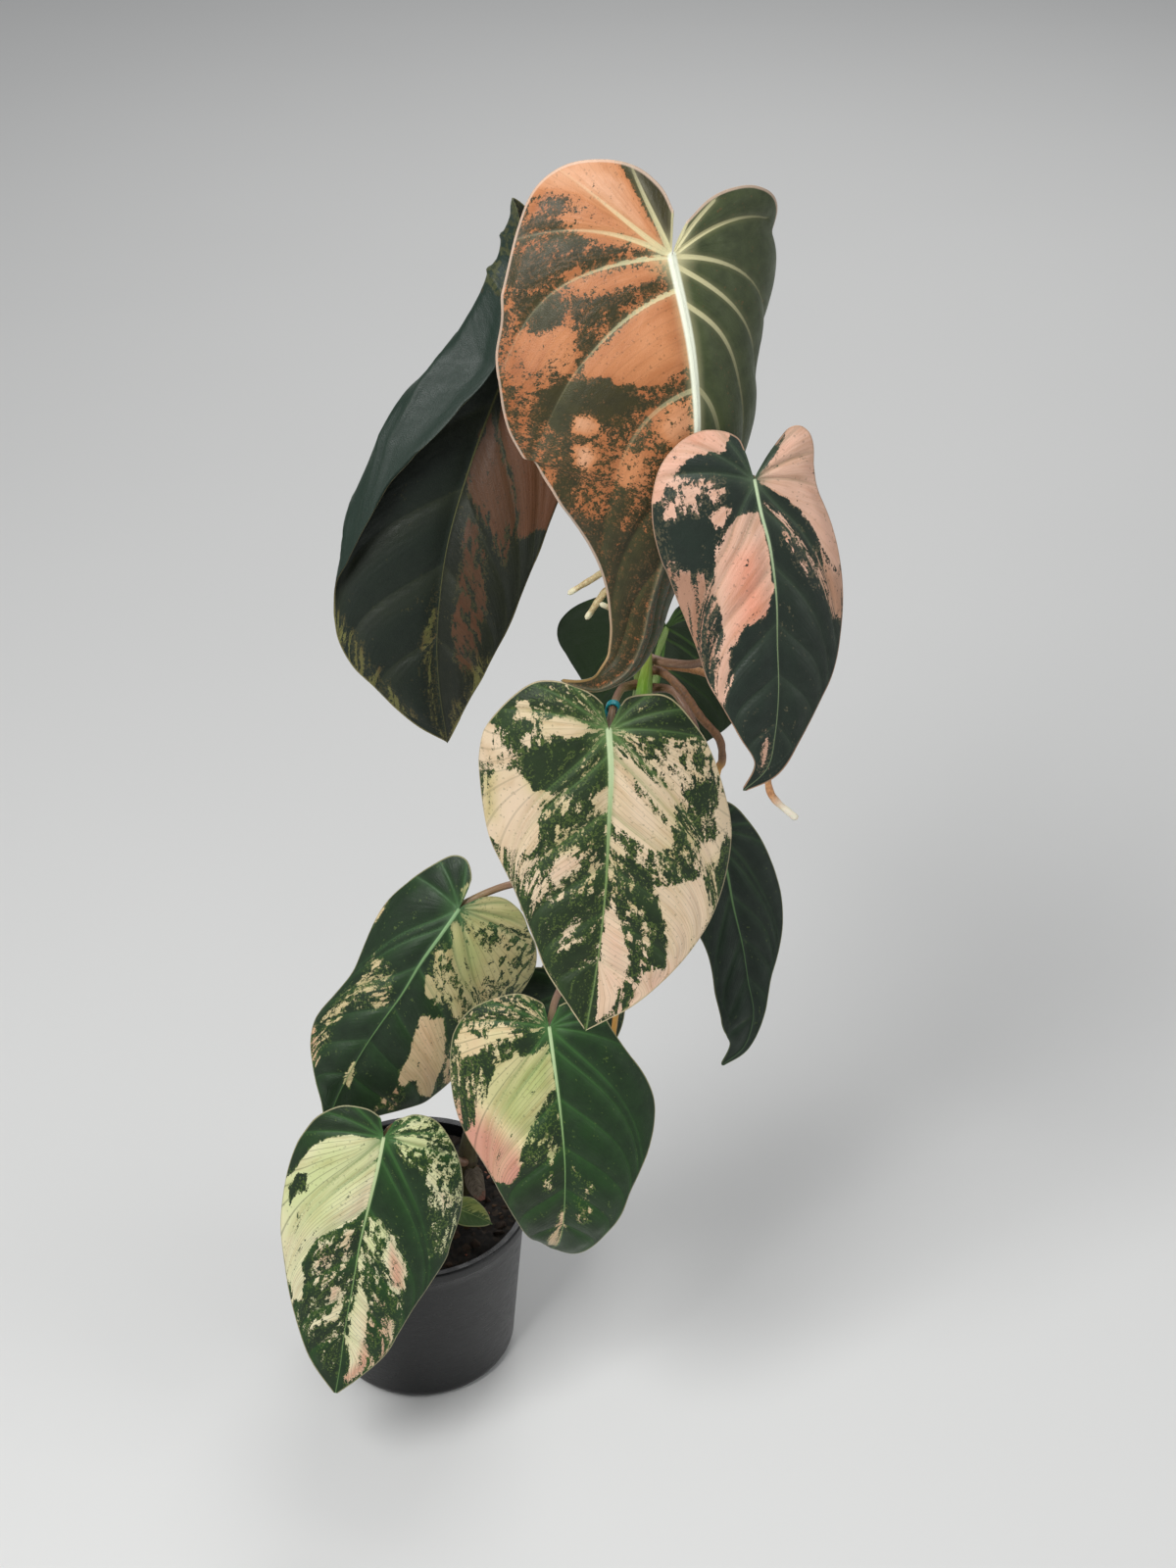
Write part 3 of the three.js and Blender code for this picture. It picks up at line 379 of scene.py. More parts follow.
def distance_to(line, flat):
    """How far flat points are from a line, and whether they lie on the tip's side of it."""
    a, b = line[:-1], line[1:]
    step = b - a
    size = np.maximum((step * step).sum(-1), 1e-9)
    away = flat[:, None] - a
    t = np.clip((away * step).sum(-1) / size, 0, 1)
    gap = away - t[..., None] * step
    square = (gap * gap).sum(-1)
    near = square.argmin(1)
    rows = np.arange(len(flat))
    ab, ap = step[near], away[rows, near]
    return np.sqrt(square[rows, near]), ab[:, 0] * ap[:, 1] - ab[:, 1] * ap[:, 0] > 0


def vein_field(blade, side, flat):
    """Where each point lies among the veins (2.5 is midway from 2 to 3), and their spacing in mm."""
    lines = vein_lines(blade, side)
    measured = [distance_to(line, flat) for line in lines]
    away = np.array([distance for distance, _ in measured])
    passed = sum(tipward.astype(int) for _, tipward in measured)
    k = np.clip(passed - 1, 0, len(lines) - 2)
    rows = np.arange(len(flat))
    before, after = away[k, rows], away[k + 1, rows]
    gap = np.maximum(before + after, 1e-3)
    return k + before / gap, gap


print("veins on each half:", len(LOBE_VEINS) + len(SIDE_VEINS))

# %% [markdown]
# ## Where the leaf has lost its green
#
# This plant is a mosaic: whole sectors of a leaf have no green, others are sprinkled with it. The
# borders are crisp and blocky because each one is the edge of a family of cells. A painted image
# would do, but then nothing could be changed. Instead each leaf gets a short list of outlines in
# flat millimetres, with how much of the green is lost inside (0 to 100) and how warm the bare
# tissue is (0 to 100). An outline with KEEP leaves the green as it is and only warms the tissue.
# Later outlines lie over earlier ones, and noise in the finish breaks the borders up.

# %% Colour sectors
KEEP = -1
SPECKLED = range(8, 90)  # shares of bare tissue whose border is a speckled one
SHARP, LOOSE = 2.4, 5.2  # how soft a border is, in mm
WARM_EDGE, BROAD_WARM_EDGE = 8, 22  # how softly the warmth changes, in mm
# (share of bare tissue, warmth, outline). Left of the midrib is negative.
SECTORS = {
    "leaf_a": [
        (41, 12, pairs(0,-5, 0,220, -90,220, -90,-60, 0,-60)),
        (14, 0, pairs(-60,122, 0,118, 0,220, -60,220)),
        (26, 0, pairs(0,108, 90,108, 90,220, 0,220)),
        (95, 75, pairs(-62,-52, -36,-52, -24,-37, -12,-18, -4,-4, -14,-9, -32,-22, -48,-32, -60,-38)),
        (34, 10, pairs(-60,-36, -48,-34, -40,-30, -40,-24, -52,-24, -62,-28)),
        (2, 0, pairs(-1,-3, -12,-20, -23,-38, -18,-52, 0,-40)),
        (84, 35, pairs(-42,-30, -36,-27, -20,-15, -6,-4, -16,-7, -30,-13, -44,-18, -48,-26)),
        (30, 5, pairs(-64,-18, -44,-16, -26,-9, -18,-3, -38,-2, -58,1, -68,-6)),
        (12, 0, pairs(-62,2, -50,3, -45,8, -48,16, -58,14, -66,8)),
        (72, 30, pairs(-40,2, -24,1, -6,1, -4,6, -20,9, -36,9)),
        (30, 5, pairs(-46,10, -30,9, -8,7, -6,12, -20,17, -34,22, -44,20)),
        (88, 28, pairs(-69,16, -58,17, -50,16, -44,20, -43,30, -50,42, -58,37, -66,34, -72,26)),
        (10, 0, pairs(-43,23, -37,22, -35,28, -40,32, -44,29)),
        (50, 0, pairs(-80,18, -69,16, -66,34, -70,46, -80,46)),
        (66, 15, pairs(-68,36, -58,37, -50,42, -50,46, -60,47, -68,46)),
        (100, 38, pairs(-1,13, -10,15, -28,24, -40,33, -44,41, -37,42, -34,48, -27,47, -22,49, -14,49,
            -10,45, -1,42)),
        (3, 0, pairs(-62,46, -47,44, -40,46, -34,43, -31,49, -20,50, -12,50, -9,55, -14,58, -26,58, -34,62,
            -38,68, -46,64, -56,72, -62,60)),
        (36, 5, pairs(-31,49, -12,49, -2,43, -1,54, -10,56, -24,55)),
        (84, 55, pairs(-1,56, -10,58, -17,66, -14,74, -8,76, -1,72)),
        (86, 70, pairs(-50,60, -42,60, -38,66, -44,71, -50,68)),
        (76, 70, pairs(-50,78, -44,76, -40,84, -44,92, -49,90)),
        (76, 45, pairs(-30,80, -22,80, -20,92, -26,102, -32,96)),
        (50, 0, pairs(-80,46, -70,48, -66,80, -56,108, -64,108, -78,84)),
        (16, 0, pairs(-60,72, -52,70, -50,100, -46,118, -52,116, -58,98)),
    ],
    "leaf_b": [
        (100, 80, pairs(0,44, 10,60, 28,70, 44,84, 44,102, 36,104, 30,112, 27,98, 18,82, 6,66)),
        (80, 50, pairs(0,60, 8,72, 20,86, 28,104, 28,128, 18,112, 6,100, 0,90)),
        (60, 45, pairs(6,108, 14,112, 20,130, 20,160, 15,190, 9,180, 7,140)),
        (50, 0, pairs(-70,-40, -20,-40, -22,14, -70,14)),
        (48, 0, pairs(-50,150, -38,162, -28,176, -18,192, -8,210, -22,204, -50,178)),
        (56, 0, pairs(-7,160, -1,140, -1,218, -8,204)),
        (54, 5, pairs(20,172, 12,190, 2,204, 1,218, 14,206, 30,176)),
    ],
    "leaf_c": [
        (40, 40, pairs(-46,-14, -34,-14, -30,-8, -12,-4, -12,6, -26,8, -42,10)),
        (98, 60, pairs(-46,2, -41,-12, -30,-28, -10,-28, -8,-20, -12,-14, -22,-16, -29,-13, -36,-8, -39,0)),
        (30, 10, pairs(-46,10, -40,8, -38,30, -44,34)),
        (46, 0, pairs(-46,28, -38,31, -28,33, -24,42, -24,60, -26,80, -34,78, -44,50)),
        (100, 40, pairs(-1,12, -9,12, -15,15, -21,22, -24,34, -26,42, -24,50, -23,60, -22,71, -17,67,
            -14,61, -8,58, -4,56, -1,46)),
        (94, 50, pairs(-21,10, -14,6, -12,9, -16,13, -20,14)),
        (82, 45, pairs(-24,66, -21,66, -21,90, -24,97, -28,88, -26,76)),
        (KEEP, 95, pairs(-18,62, -14,30, -7,26, -5,56)),
        (100, 42, pairs(1,0, 10,-9, 19,-22, 30,-14, 32,14, 34,40, 30,46, 25,38, 19,24, 11,10)),
        (62, 10, pairs(20,33, 28,45, 36,44, 36,68, 27,62, 19,46)),
        (40, 40, pairs(2,10, 9,17, 15,28, 21,42, 22,52, 14,44, 7,32)),
        (70, 20, pairs(-4,109, -1,112, -1,127, -3,126, -6,117)),
    ],
    "leaf_d": [
        (32, 30, pairs(0,-30, 0,150, -70,150, -70,-30)),
        (22, 20, pairs(-60,-30, 0,-30, 0,-6, -30,-8, -60,-16)),
        (14, 30, pairs(-50,78, -26,84, -1,74, -1,150, -50,150)),
        (97, 22, pairs(-28,-6, -18,-8, -8,-3, -12,1, -25,0)),
        (90, 30, pairs(-40,-15, -34,-15, -33,-9, -39,-8)),
        (56, 40, pairs(-57,-4, -44,0, -40,10, -46,20, -58,24)),
        (100, 40, pairs(-57,42, -57,30, -50,20, -42,18, -38,24, -34,29, -26,29, -26,36, -31,43, -30,54,
            -34,61, -42,58, -50,56, -58,52)),
        (62, 0, pairs(-60,24, -52,22, -51,44, -58,50)),
        (93, 45, pairs(-62,14, -58,-4, -51,-4, -52,6, -57,16)),
        (4, 0, pairs(-38,10, -27,4, -12,2, -12,26, -14,28, -22,27, -34,29, -37,22)),
        (20, 0, pairs(-12,4, -1,2, -1,26, -12,26)),
        (98, 25, pairs(-8,36, -5,28, -1,25, -1,38, -6,38)),
        (37, 10, pairs(-30,32, -8,30, -1,40, -1,74, -14,74, -24,66, -28,50)),
        (78, 50, pairs(-22,58, -13,55, -11,61, -22,71, -26,66)),
        (62, 40, pairs(-46,56, -32,58, -28,68, -30,80, -38,76)),
        (74, 45, pairs(-18,100, -14,88, -10,88, -15,99)),
        (47, 30, pairs(0,-5, 70,-5, 70,150, 0,150)),
        (4, 0, pairs(1,-3, 6,-16, 30,-20, 44,6, 36,6, 24,4, 12,3)),
        (44, 30, pairs(2,2, 14,3, 30,8, 44,12, 46,30, 34,24, 22,14, 8,8)),
        (100, 36, pairs(1,10, 8,14, 20,22, 30,30, 28,36, 27,44, 28,52, 22,54, 14,50, 6,44, 1,40)),
        (60, 25, pairs(5,20, 9,20, 20,30, 30,40, 28,43, 16,34)),
        (97, 48, pairs(45,24, 54,32, 58,52, 50,46, 46,36)),
        (14, 20, pairs(36,22, 46,22, 47,33, 42,39, 34,30)),
        (34, 10, pairs(28,32, 38,36, 42,42, 40,52, 36,68, 26,66, 24,58, 28,50)),
        (93, 40, pairs(42,52, 50,50, 52,60, 44,64, 40,58)),
        (24, 10, pairs(1,60, 10,58, 20,66, 23,76, 12,82, 1,74)),
        (4, 10, pairs(17,78, 23,76, 27,86, 30,98, 30,107, 24,106, 22,95)),
        (100, 45, pairs(23,70, 34,69, 43,67, 46,74, 50,80, 46,92, 38,104, 31,108, 30,95, 26,84)),
        (40, 20, pairs(44,62, 54,56, 58,64, 54,82, 48,78)),
        (97, 60, pairs(1,82, 6,84, 13,100, 15,108, 10,128, 4,136, 1,116)),
        (30, 30, pairs(6,82, 12,82, 20,92, 19,108, 14,104)),
        (34, 50, pairs(14,108, 20,108, 20,118, 18,128, 13,130, 13,118)),
        (100, 75, pairs(21,109, 31,108, 40,106, 24,128, 18,130)),
        (64, 60, pairs(10,128, 18,126, 10,138, 3,140)),
    ],
    "leaf_f": [
        (55, 25, pairs(1,-6, 20,-10, 60,-6, 62,60, 44,62, 30,52, 12,46, 3,30)),
        (97, 10, pairs(2,-3, 9,-18, 34,-20, 33,-8, 20,-5, 8,0)),
        (94, 4, pairs(1,6, 14,8, 24,12, 30,22, 28,31, 20,29, 13,25, 5,13)),
        (94, 30, pairs(5,36, 10,37, 15,46, 11,48, 7,42)),
        (100, 62, pairs(13,56, 24,53, 32,61, 38,74, 42,88, 44,101, 37,100, 31,91, 28,97, 23,96, 21,80,
            17,67)),
        (50, 60, pairs(34,58, 44,66, 56,62, 56,92, 46,94, 42,84)),
        (40, 80, pairs(23,98, 31,101, 30,118, 20,118)),
        (43, 35, pairs(-22,44, -10,42, -3,52, -3,62, -13,66, -18,74, -17,96, -22,104, -26,78, -22,60)),
        (70, 30, pairs(-2,57, -9,64, -14,72, -8,66)),
        (48, 75, pairs(-32,92, -24,94, -16,106, -22,112)),
        (96, 25, pairs(-1,95, 0,95, 0,108, -1,108)),
        (96, 25, pairs(0,96, 2,100, 3,109, 0,108)),
        (90, 10, pairs(-4,-16, -1,-8, -1,-4, -4,-9)),
        (66, 55, pairs(-36,16, -30,22, -31,32, -36,32)),
    ],
    "leaf_g": [
        (34, 50, pairs(-52,6, -42,-24, -2,-24, -1,-4, -6,8, -22,14, -31,16, -36,34, -42,48, -56,46)),
        (92, 45, pairs(-43,-4, -36,-1, -30,3, -35,8, -44,11, -46,3)),
        (88, 35, pairs(-25,-4, -18,-1, -22,3, -28,2)),
        (3, 0, pairs(-18,4, -8,1, -3,4, -8,9, -16,11)),
        (100, 0, pairs(-1,7, -8,11, -18,12, -26,15, -31,24, -35,38, -40,46, -50,51, -42,62, -36,74, -33,79,
            -27,78, -23,74, -21,66, -20,58, -15,50, -9,38, -5,32, -1,30)),
        (100, 36, pairs(-18,12, -27,15, -32,24, -36,38, -41,47, -34,46, -28,28, -20,18)),
        (KEEP, 88, pairs(-70,38, -46,34, -28,47, -18,57, -2,62, -2,102, -70,102)),
        (34, 10, pairs(-10,40, -1,32, -1,62, -6,68, -20,66, -17,54)),
        (66, 30, pairs(-10,74, -6,73, -7,82, -10,81)),
        (78, 60, pairs(-7,113, -3,106, -1,92, 0,92, 0,126, -4,130, -6,121)),
        (24, 50, pairs(4,70, 14,80, 13,100, 7,98)),
    ],
    "leaf_h": [
        (30, 46, pairs(-22,54, -10,50, -1,40, -1,136, -12,128, -20,112)),
        (26, 40, pairs(1,42, 14,46, 25,62, 26,106, 10,136, 1,132)),
        (100, 6, pairs(0,1, -15,1, -25,5, -32,11, -36,20, -40,30, -46,40, -44,60, -40,72, -34,84, -30,92,
            -26,98, -23,95, -24,85, -26,75, -24,66, -20,58, -12,52, -5,45, -1,38)),
        (100, 66, pairs(-10,47, -6,30, -1,22, -1,38, -5,45)),
        (KEEP, 36, pairs(-62,52, -34,56, -16,62, -16,102, -62,102)),
        (5, 0, pairs(-38,30, -32,28, -31,38, -36,44, -38,50, -41,40)),
        (52, 15, pairs(-37,50, -31,49, -32,60, -37,64)),
        (40, 40, pairs(-34,86, -26,98, -18,110, -24,112)),
        (46, 60, pairs(-22,60, -12,62, -10,78, -16,88, -20,72)),
        (88, 55, pairs(-8,52, -4,51, -6,60, -8,59)),
        (90, 85, pairs(-10,84, -6,82, -6,91, -10,92)),
        (64, 50, pairs(-6,84, -3,86, -4,104, -10,107, -8,96)),
        (44, 8, pairs(3,-4, 8,-18, 34,-16, 46,10, 44,24, 28,14, 12,10)),
        (97, 6, pairs(5,-2, 12,-4, 20,-4, 21,1, 14,1)),
        (38, 20, pairs(22,8, 36,4, 50,26, 50,56, 36,60, 32,40, 28,24)),
        (92, 80, pairs(33,22, 38,28, 36,29)),
        (52, 12, pairs(1,42, 8,41, 16,50, 22,60, 25,78, 18,82, 12,66, 3,60)),
        (80, 85, pairs(14,50, 17,56, 21,62, 24,66, 25,78, 19,78, 15,64)),
        (98, 30, pairs(4,80, 8,84, 10,98, 10,110, 9,120, 9,127, 6,130, 3,114, 2,96)),
        (84, 85, pairs(10,112, 14,112, 15,124, 9,133, 3,139, 2,134, 9,124)),
        (62, 8, pairs(1,60, 3,80, 2,112, 1,122)),
        (30, 70, pairs(12,84, 24,84, 24,122, 14,128, 11,106)),
    ],
    "leaf_small": [
        (70, 0, pairs(1,-5, 12,0, 12,14, 2,20)),
    ],
}


def inside_distance(outline, flat):
    """Distance from flat points to a closed outline, positive inside it."""
    ring = np.vstack([outline, outline[:1]])
    a, b = ring[:-1], ring[1:]
    x, y = flat[:, :1], flat[:, 1:]
    crosses = (a[:, 1] > y) != (b[:, 1] > y)
    slope = (b[:, 0] - a[:, 0]) / np.where(b[:, 1] == a[:, 1], 1e-9, b[:, 1] - a[:, 1])
    inner = (crosses & (x < a[:, 0] + slope * (y - a[:, 1]))).sum(1) % 2 == 1
    away, _ = distance_to(ring, flat)
    return np.where(inner, away, -away)


def step_over(inside, width):
    """0 outside an outline, 1 inside it, soft over a width in mm."""
    return smooth(0.5 + inside / width)


def bare_tissue(name, flat):
    """How likely a point is to have lost its green, and how warm its bare tissue is, 0 to 1."""
    bare = np.zeros(len(flat))
    warm = np.full(len(flat), 0.4)
    for share, warmth, outline in SECTORS.get(name, []):
        inside = inside_distance(outline, flat)
        if share != KEEP:
            bare = lerp(bare, share / 100, step_over(inside, LOOSE if share in SPECKLED else SHARP))
        edge = WARM_EDGE if 0 <= share < 93 else BROAD_WARM_EDGE
        warm = lerp(warm, warmth / 100, step_over(inside, edge))
    return bare, warm


print("colour sectors drawn:", sum(len(s) for s in SECTORS.values()))

# %% [markdown]
# ## A blade with its relief
#
# The blade is a grid: lines run from the midrib to the margin, rings run round the half. The flat
# place of each grid point is bent into space, then lifted: up between two veins like a quilt, down
# along each vein, and up again on the midrib, which is round above and thick below. A second,
# lower sheet makes it a leaf with a thickness, and a rounded ring joins the two at the margin.

# %% Blade relief
RIB_HALF, VEIN_HALF = 1.9, 1.1  # all in mm
BLADE_THICK = 0.8
QUILT_MOST = 1.35
GROOVE, RIPPLE = 0.55, 0.035
VALLEY, RIDGE = 0.5, 0.75  # beside the midrib and on it
RIPPLES = 5  # between two veins


def to_nearest_vein(index, gap):
    return np.abs(index - np.round(index)) * gap


def relief(blade, flat, index, gap, edge, rib_away):
    """How far the upper side stands above the bent sheet, in mm."""
    between = np.sin(np.pi * (index % 1))
    near_rib = smooth(rib_away / 9)
    quilt = np.minimum(0.085 * gap, QUILT_MOST) * between * near_rib
    groove = -GROOVE * bell(to_nearest_vein(index, gap), VEIN_HALF) * smooth(rib_away / 4)
    ripple = RIPPLE * np.sin(2 * np.pi * index * RIPPLES) * between * near_rib * smooth(gap / 12)
    slim = 1 - 0.75 * np.clip(flat[:, 1] / blade.length, 0, 1)
    valley = -VALLEY * bell(rib_away, 4.2) * slim
    ridge = RIDGE * bell(rib_away, 1.5 * slim + 0.25) * slim
    calm = smooth(edge / 7)
    return (quilt + groove + ripple) * calm + valley + ridge


# %% [markdown]
# Each point also keeps what the finish will ask for later: its place among the veins, how far the
# midrib and the margin are, how bare its tissue is, and which side of the leaf it is on. These
# numbers are stored on the mesh as attributes, so that the finish never needs an image.

# %% Blade mesh
FIRST_LINE = 0.3  # share of the margin whose lines fan out from the petiole's end
RIGHT_VEINS = 20  # added to the vein numbers of the right half, to tell the halves apart
CROWDING = 1.15  # above 1 the rings lie closer at the midrib
KEEL = 0.028  # how far the midrib stands out below, as a share of the blade's width
CORD = 0.35  # how far a vein stands out below, in mm
EDGE_STEPS = 160


def make_mesh(name, vertices, faces, numbers=None):
    """A smooth mesh object in metres from points in mm, with named numbers on its points."""
    mesh = bpy.data.meshes.new(name)
    mesh.from_pydata((np.asarray(vertices) * MM).tolist(), [], faces)
    for key, values in (numbers or {}).items():
        values = np.asarray(values, np.float32)
        kind = "FLOAT" if values.ndim == 1 else "FLOAT_VECTOR"
        attribute = mesh.attributes.new(key, kind, "POINT")
        attribute.data.foreach_set("value" if kind == "FLOAT" else "vector", values.ravel())
    mesh.polygons.foreach_set("use_smooth", [True] * len(mesh.polygons))
    mesh.update()
    piece = bpy.data.objects.new(name, mesh)
    bpy.context.scene.collection.objects.link(piece)
    return piece


def tidy_mesh(piece):
    """Removes points that no face uses and points every face outward."""
    work = bmesh.new()
    work.from_mesh(piece.data)
    loose = [v for v in work.verts if not v.link_faces]
    bmesh.ops.delete(work, geom=loose, context="VERTS")
    bmesh.ops.remove_doubles(work, verts=work.verts, dist=1e-6)
    bmesh.ops.recalc_face_normals(work, faces=work.faces)
    work.to_mesh(piece.data)
    work.free()
    return piece


def half_grid(blade, side, lines, rings):
    """Flat places of one half, line by line, and how far along its line each of them is."""
    s = np.linspace(0, 1, lines + 1)
    t = np.linspace(0, 1, rings + 1) ** CROWDING
    margin = blade.margin[side]
    end = margin.at(s * margin.length)
    start = np.zeros_like(end)
    start[:, 1] = blade.length * np.maximum((s - FIRST_LINE) / (1 - FIRST_LINE), 0) ** 1.05
    reach = np.linalg.norm(end - start, axis=1)
    bend = (start + end) / 2 - np.stack([0 * reach, VEIN_BOW * reach], -1)
    t = t[None, :, None]
    start, bend, end = start[:, None], bend[:, None], end[:, None]
    flat = (1 - t) ** 2 * start + 2 * t * (1 - t) * bend + t**2 * end
    flat[..., 0] = np.maximum(flat[..., 0], 0)
    return flat, t[..., 0] * reach[:, None]


def make_half(blade, side, lines, rings):
    """The points of one half, above and below, with their numbers."""
    flat, run = half_grid(blade, side, lines, rings)
    shape = flat.shape[:2]
    flat = flat.reshape(-1, 2)
    out, along = flat[:, 0], flat[:, 1]
    index, gap = vein_field(blade, side, flat)
    margin = blade.margin[side].at(np.linspace(0, blade.margin[side].length, EDGE_STEPS))
    edge, _ = distance_to(margin, flat)
    edge.reshape(shape)[:, -1] = 0
    rib_away = np.where(along < 0, np.hypot(out, along), out)
    place, normal = blade.point(side, out, along)
    rib_up = blade.frame(along)[2]
    across = unit(lerp(rib_up, normal, smooth(rib_away / (3 * RIB_HALF))[:, None]))
    lift = relief(blade, flat, index, gap, edge, rib_away)
    slim = 1 - 0.7 * np.clip(along / blade.length, 0, 1)
    keel = KEEL * blade.spec["width"] * slim * np.exp(-rib_away / RIB_HALF)
    cord = CORD * bell(to_nearest_vein(index, gap), VEIN_HALF) * smooth(rib_away / 4) * smooth(edge / 8)
    thick = BLADE_THICK * (0.6 + 0.4 * smooth(edge / 4)) + keel + cord
    return {
        "top": place + across * lift[:, None],
        "under": place + across * (lift - thick)[:, None],
        "flat_place": np.stack([out if side == "right" else -out, along, 0 * along], -1),
        "vein_index": index + (RIGHT_VEINS if side == "right" else 0),
        "vein_gap": gap,
        "vein_run": run.reshape(-1),
        "rib_away": rib_away,
        "edge_away": edge,
    }


# %% [markdown]
# The grid's lines that fan out from the petiole's end all start at one point, so the cells there
# are triangles. The other cells are quads. The lower sheet repeats the upper one turned over, and
# a ring of points a little outside the margin rounds the edge between the two.


# %% Blade faces
EDGE_OUT = 0.22  # how far the rounded edge stands out, in mm
NEIGHBOUR = 9  # points along the margin to those that tell which way is out


def sheet_faces(owner):
    """The upper sheet's faces, facing up on both halves. owner is the point of each grid place."""
    faces = []
    for half, o in enumerate(owner):
        quads = np.stack([o[:-1, :-1], o[1:, :-1], o[1:, 1:], o[:-1, 1:]], -1).reshape(-1, 4)
        if half == 0:
            quads = quads[:, ::-1]
        for quad in quads.tolist():
            face = [v for k, v in enumerate(quad) if v != quad[k - 1]]
            if len(face) > 2:
                faces.append(face)
    return faces


def margin_loop(owner):
    """The points of the upper sheet's edge, once round the leaf."""
    outline = [int(v) for v in owner[0, :, -1]] + [int(v) for v in owner[1, ::-1, -1]]
    left_lobe, right_lobe = owner[0, 0, ::-1].tolist(), owner[1, 0].tolist()
    return outline + right_lobe[::-1][1:] + left_lobe[::-1][1:-1]


def make_blade(name, fineness):
    """The fine blade of one leaf. fineness is its grid cell in mm."""
    blade = Blade(LEAVES[name])
    lines = int(max(margin.length for margin in blade.margin.values()) / fineness / 1.15)
    rings = int(blade.spec["width"] / fineness / 1.05)
    halves = [make_half(blade, side, lines, rings) for side in ("left", "right")]
    data = {key: np.concatenate([half[key] for half in halves]) for key in halves[0]}
    top, under = data.pop("top"), data.pop("under")
    total = len(top)
    owner = np.arange(total).reshape(2, lines + 1, rings + 1)
    owner[0, : int(FIRST_LINE * lines) + 1, 0] = owner[0, 0, 0]
    owner[1, :, 0] = owner[0, :, 0]
    faces = sheet_faces(owner)
    lower = [[v + total for v in reversed(face)] for face in faces]

    loop = margin_loop(owner)
    middle = (top[loop] + under[loop]) / 2
    outward = middle - (top[np.roll(loop, NEIGHBOUR)] + top[np.roll(loop, -NEIGHBOUR)]) / 2
    middle = middle + unit(outward + 1e-9) * EDGE_OUT
    wall = []
    for k, a in enumerate(loop):
        b = loop[(k + 1) % len(loop)]
        m, n = 2 * total + k, 2 * total + (k + 1) % len(loop)
        if a != b:
            wall += [[a, b, n, m], [m, n, b + total, a + total]]

    data["bare"], data["warm"] = bare_tissue(name, data["flat_place"][:, :2])
    data["leaf_share"] = data["flat_place"][:, 1] / blade.length
    numbers = {key: np.concatenate([v, v, v[loop]]) for key, v in data.items()}
    numbers["underside"] = np.repeat([0, 1, 0.5], [total, total, len(loop)])
    vertices = np.vstack([top, under, middle])
    return tidy_mesh(make_mesh(name + "_fine", vertices, faces + lower + wall, numbers))


# %% [markdown]
# Now the eleven blades can be made. A cell of about a millimetre is fine enough for the grooves;
# the two largest leaves get a wider one, because their veins are wider too, and the small leaf at
# the mix a finer one.

# %% Make the blades
USUAL_CELL = 1.15  # mm
CELLS = {"leaf_a": 1.45, "leaf_b": 1.45, "leaf_small": 0.5}
blades = {}
for name in LEAVES:
    blades[name] = make_blade(name, CELLS.get(name, USUAL_CELL))
    print(name, len(blades[name].data.polygons), "faces")

# %% [markdown]
# ## A small bench for finishes
#
# A finish is a graph of nodes. Building it by hand in the editor is fine for one surface; for
# eleven leaves it is easier to write it as sums. The bench below makes a node for each step and
# hands back its output, so that a finish reads like arithmetic. Values that are the same all over
# a surface are set on the shader itself.


# %% The bench
def linear(red, green, blue):
    """A colour picked on a screen (0 to 255), as the linear light that the shader works in."""
    channels = [c / 255 for c in (red, green, blue)]
    light = [c / 12.92 if c <= 0.04045 else ((c + 0.055) / 1.055) ** 2.4 for c in channels]
    return (*light, 1)


def paint(colour):
    """Three numbers are a screen colour; four numbers or a socket are linear light already."""
    return linear(*colour) if isinstance(colour, tuple) and len(colour) == 3 else colour


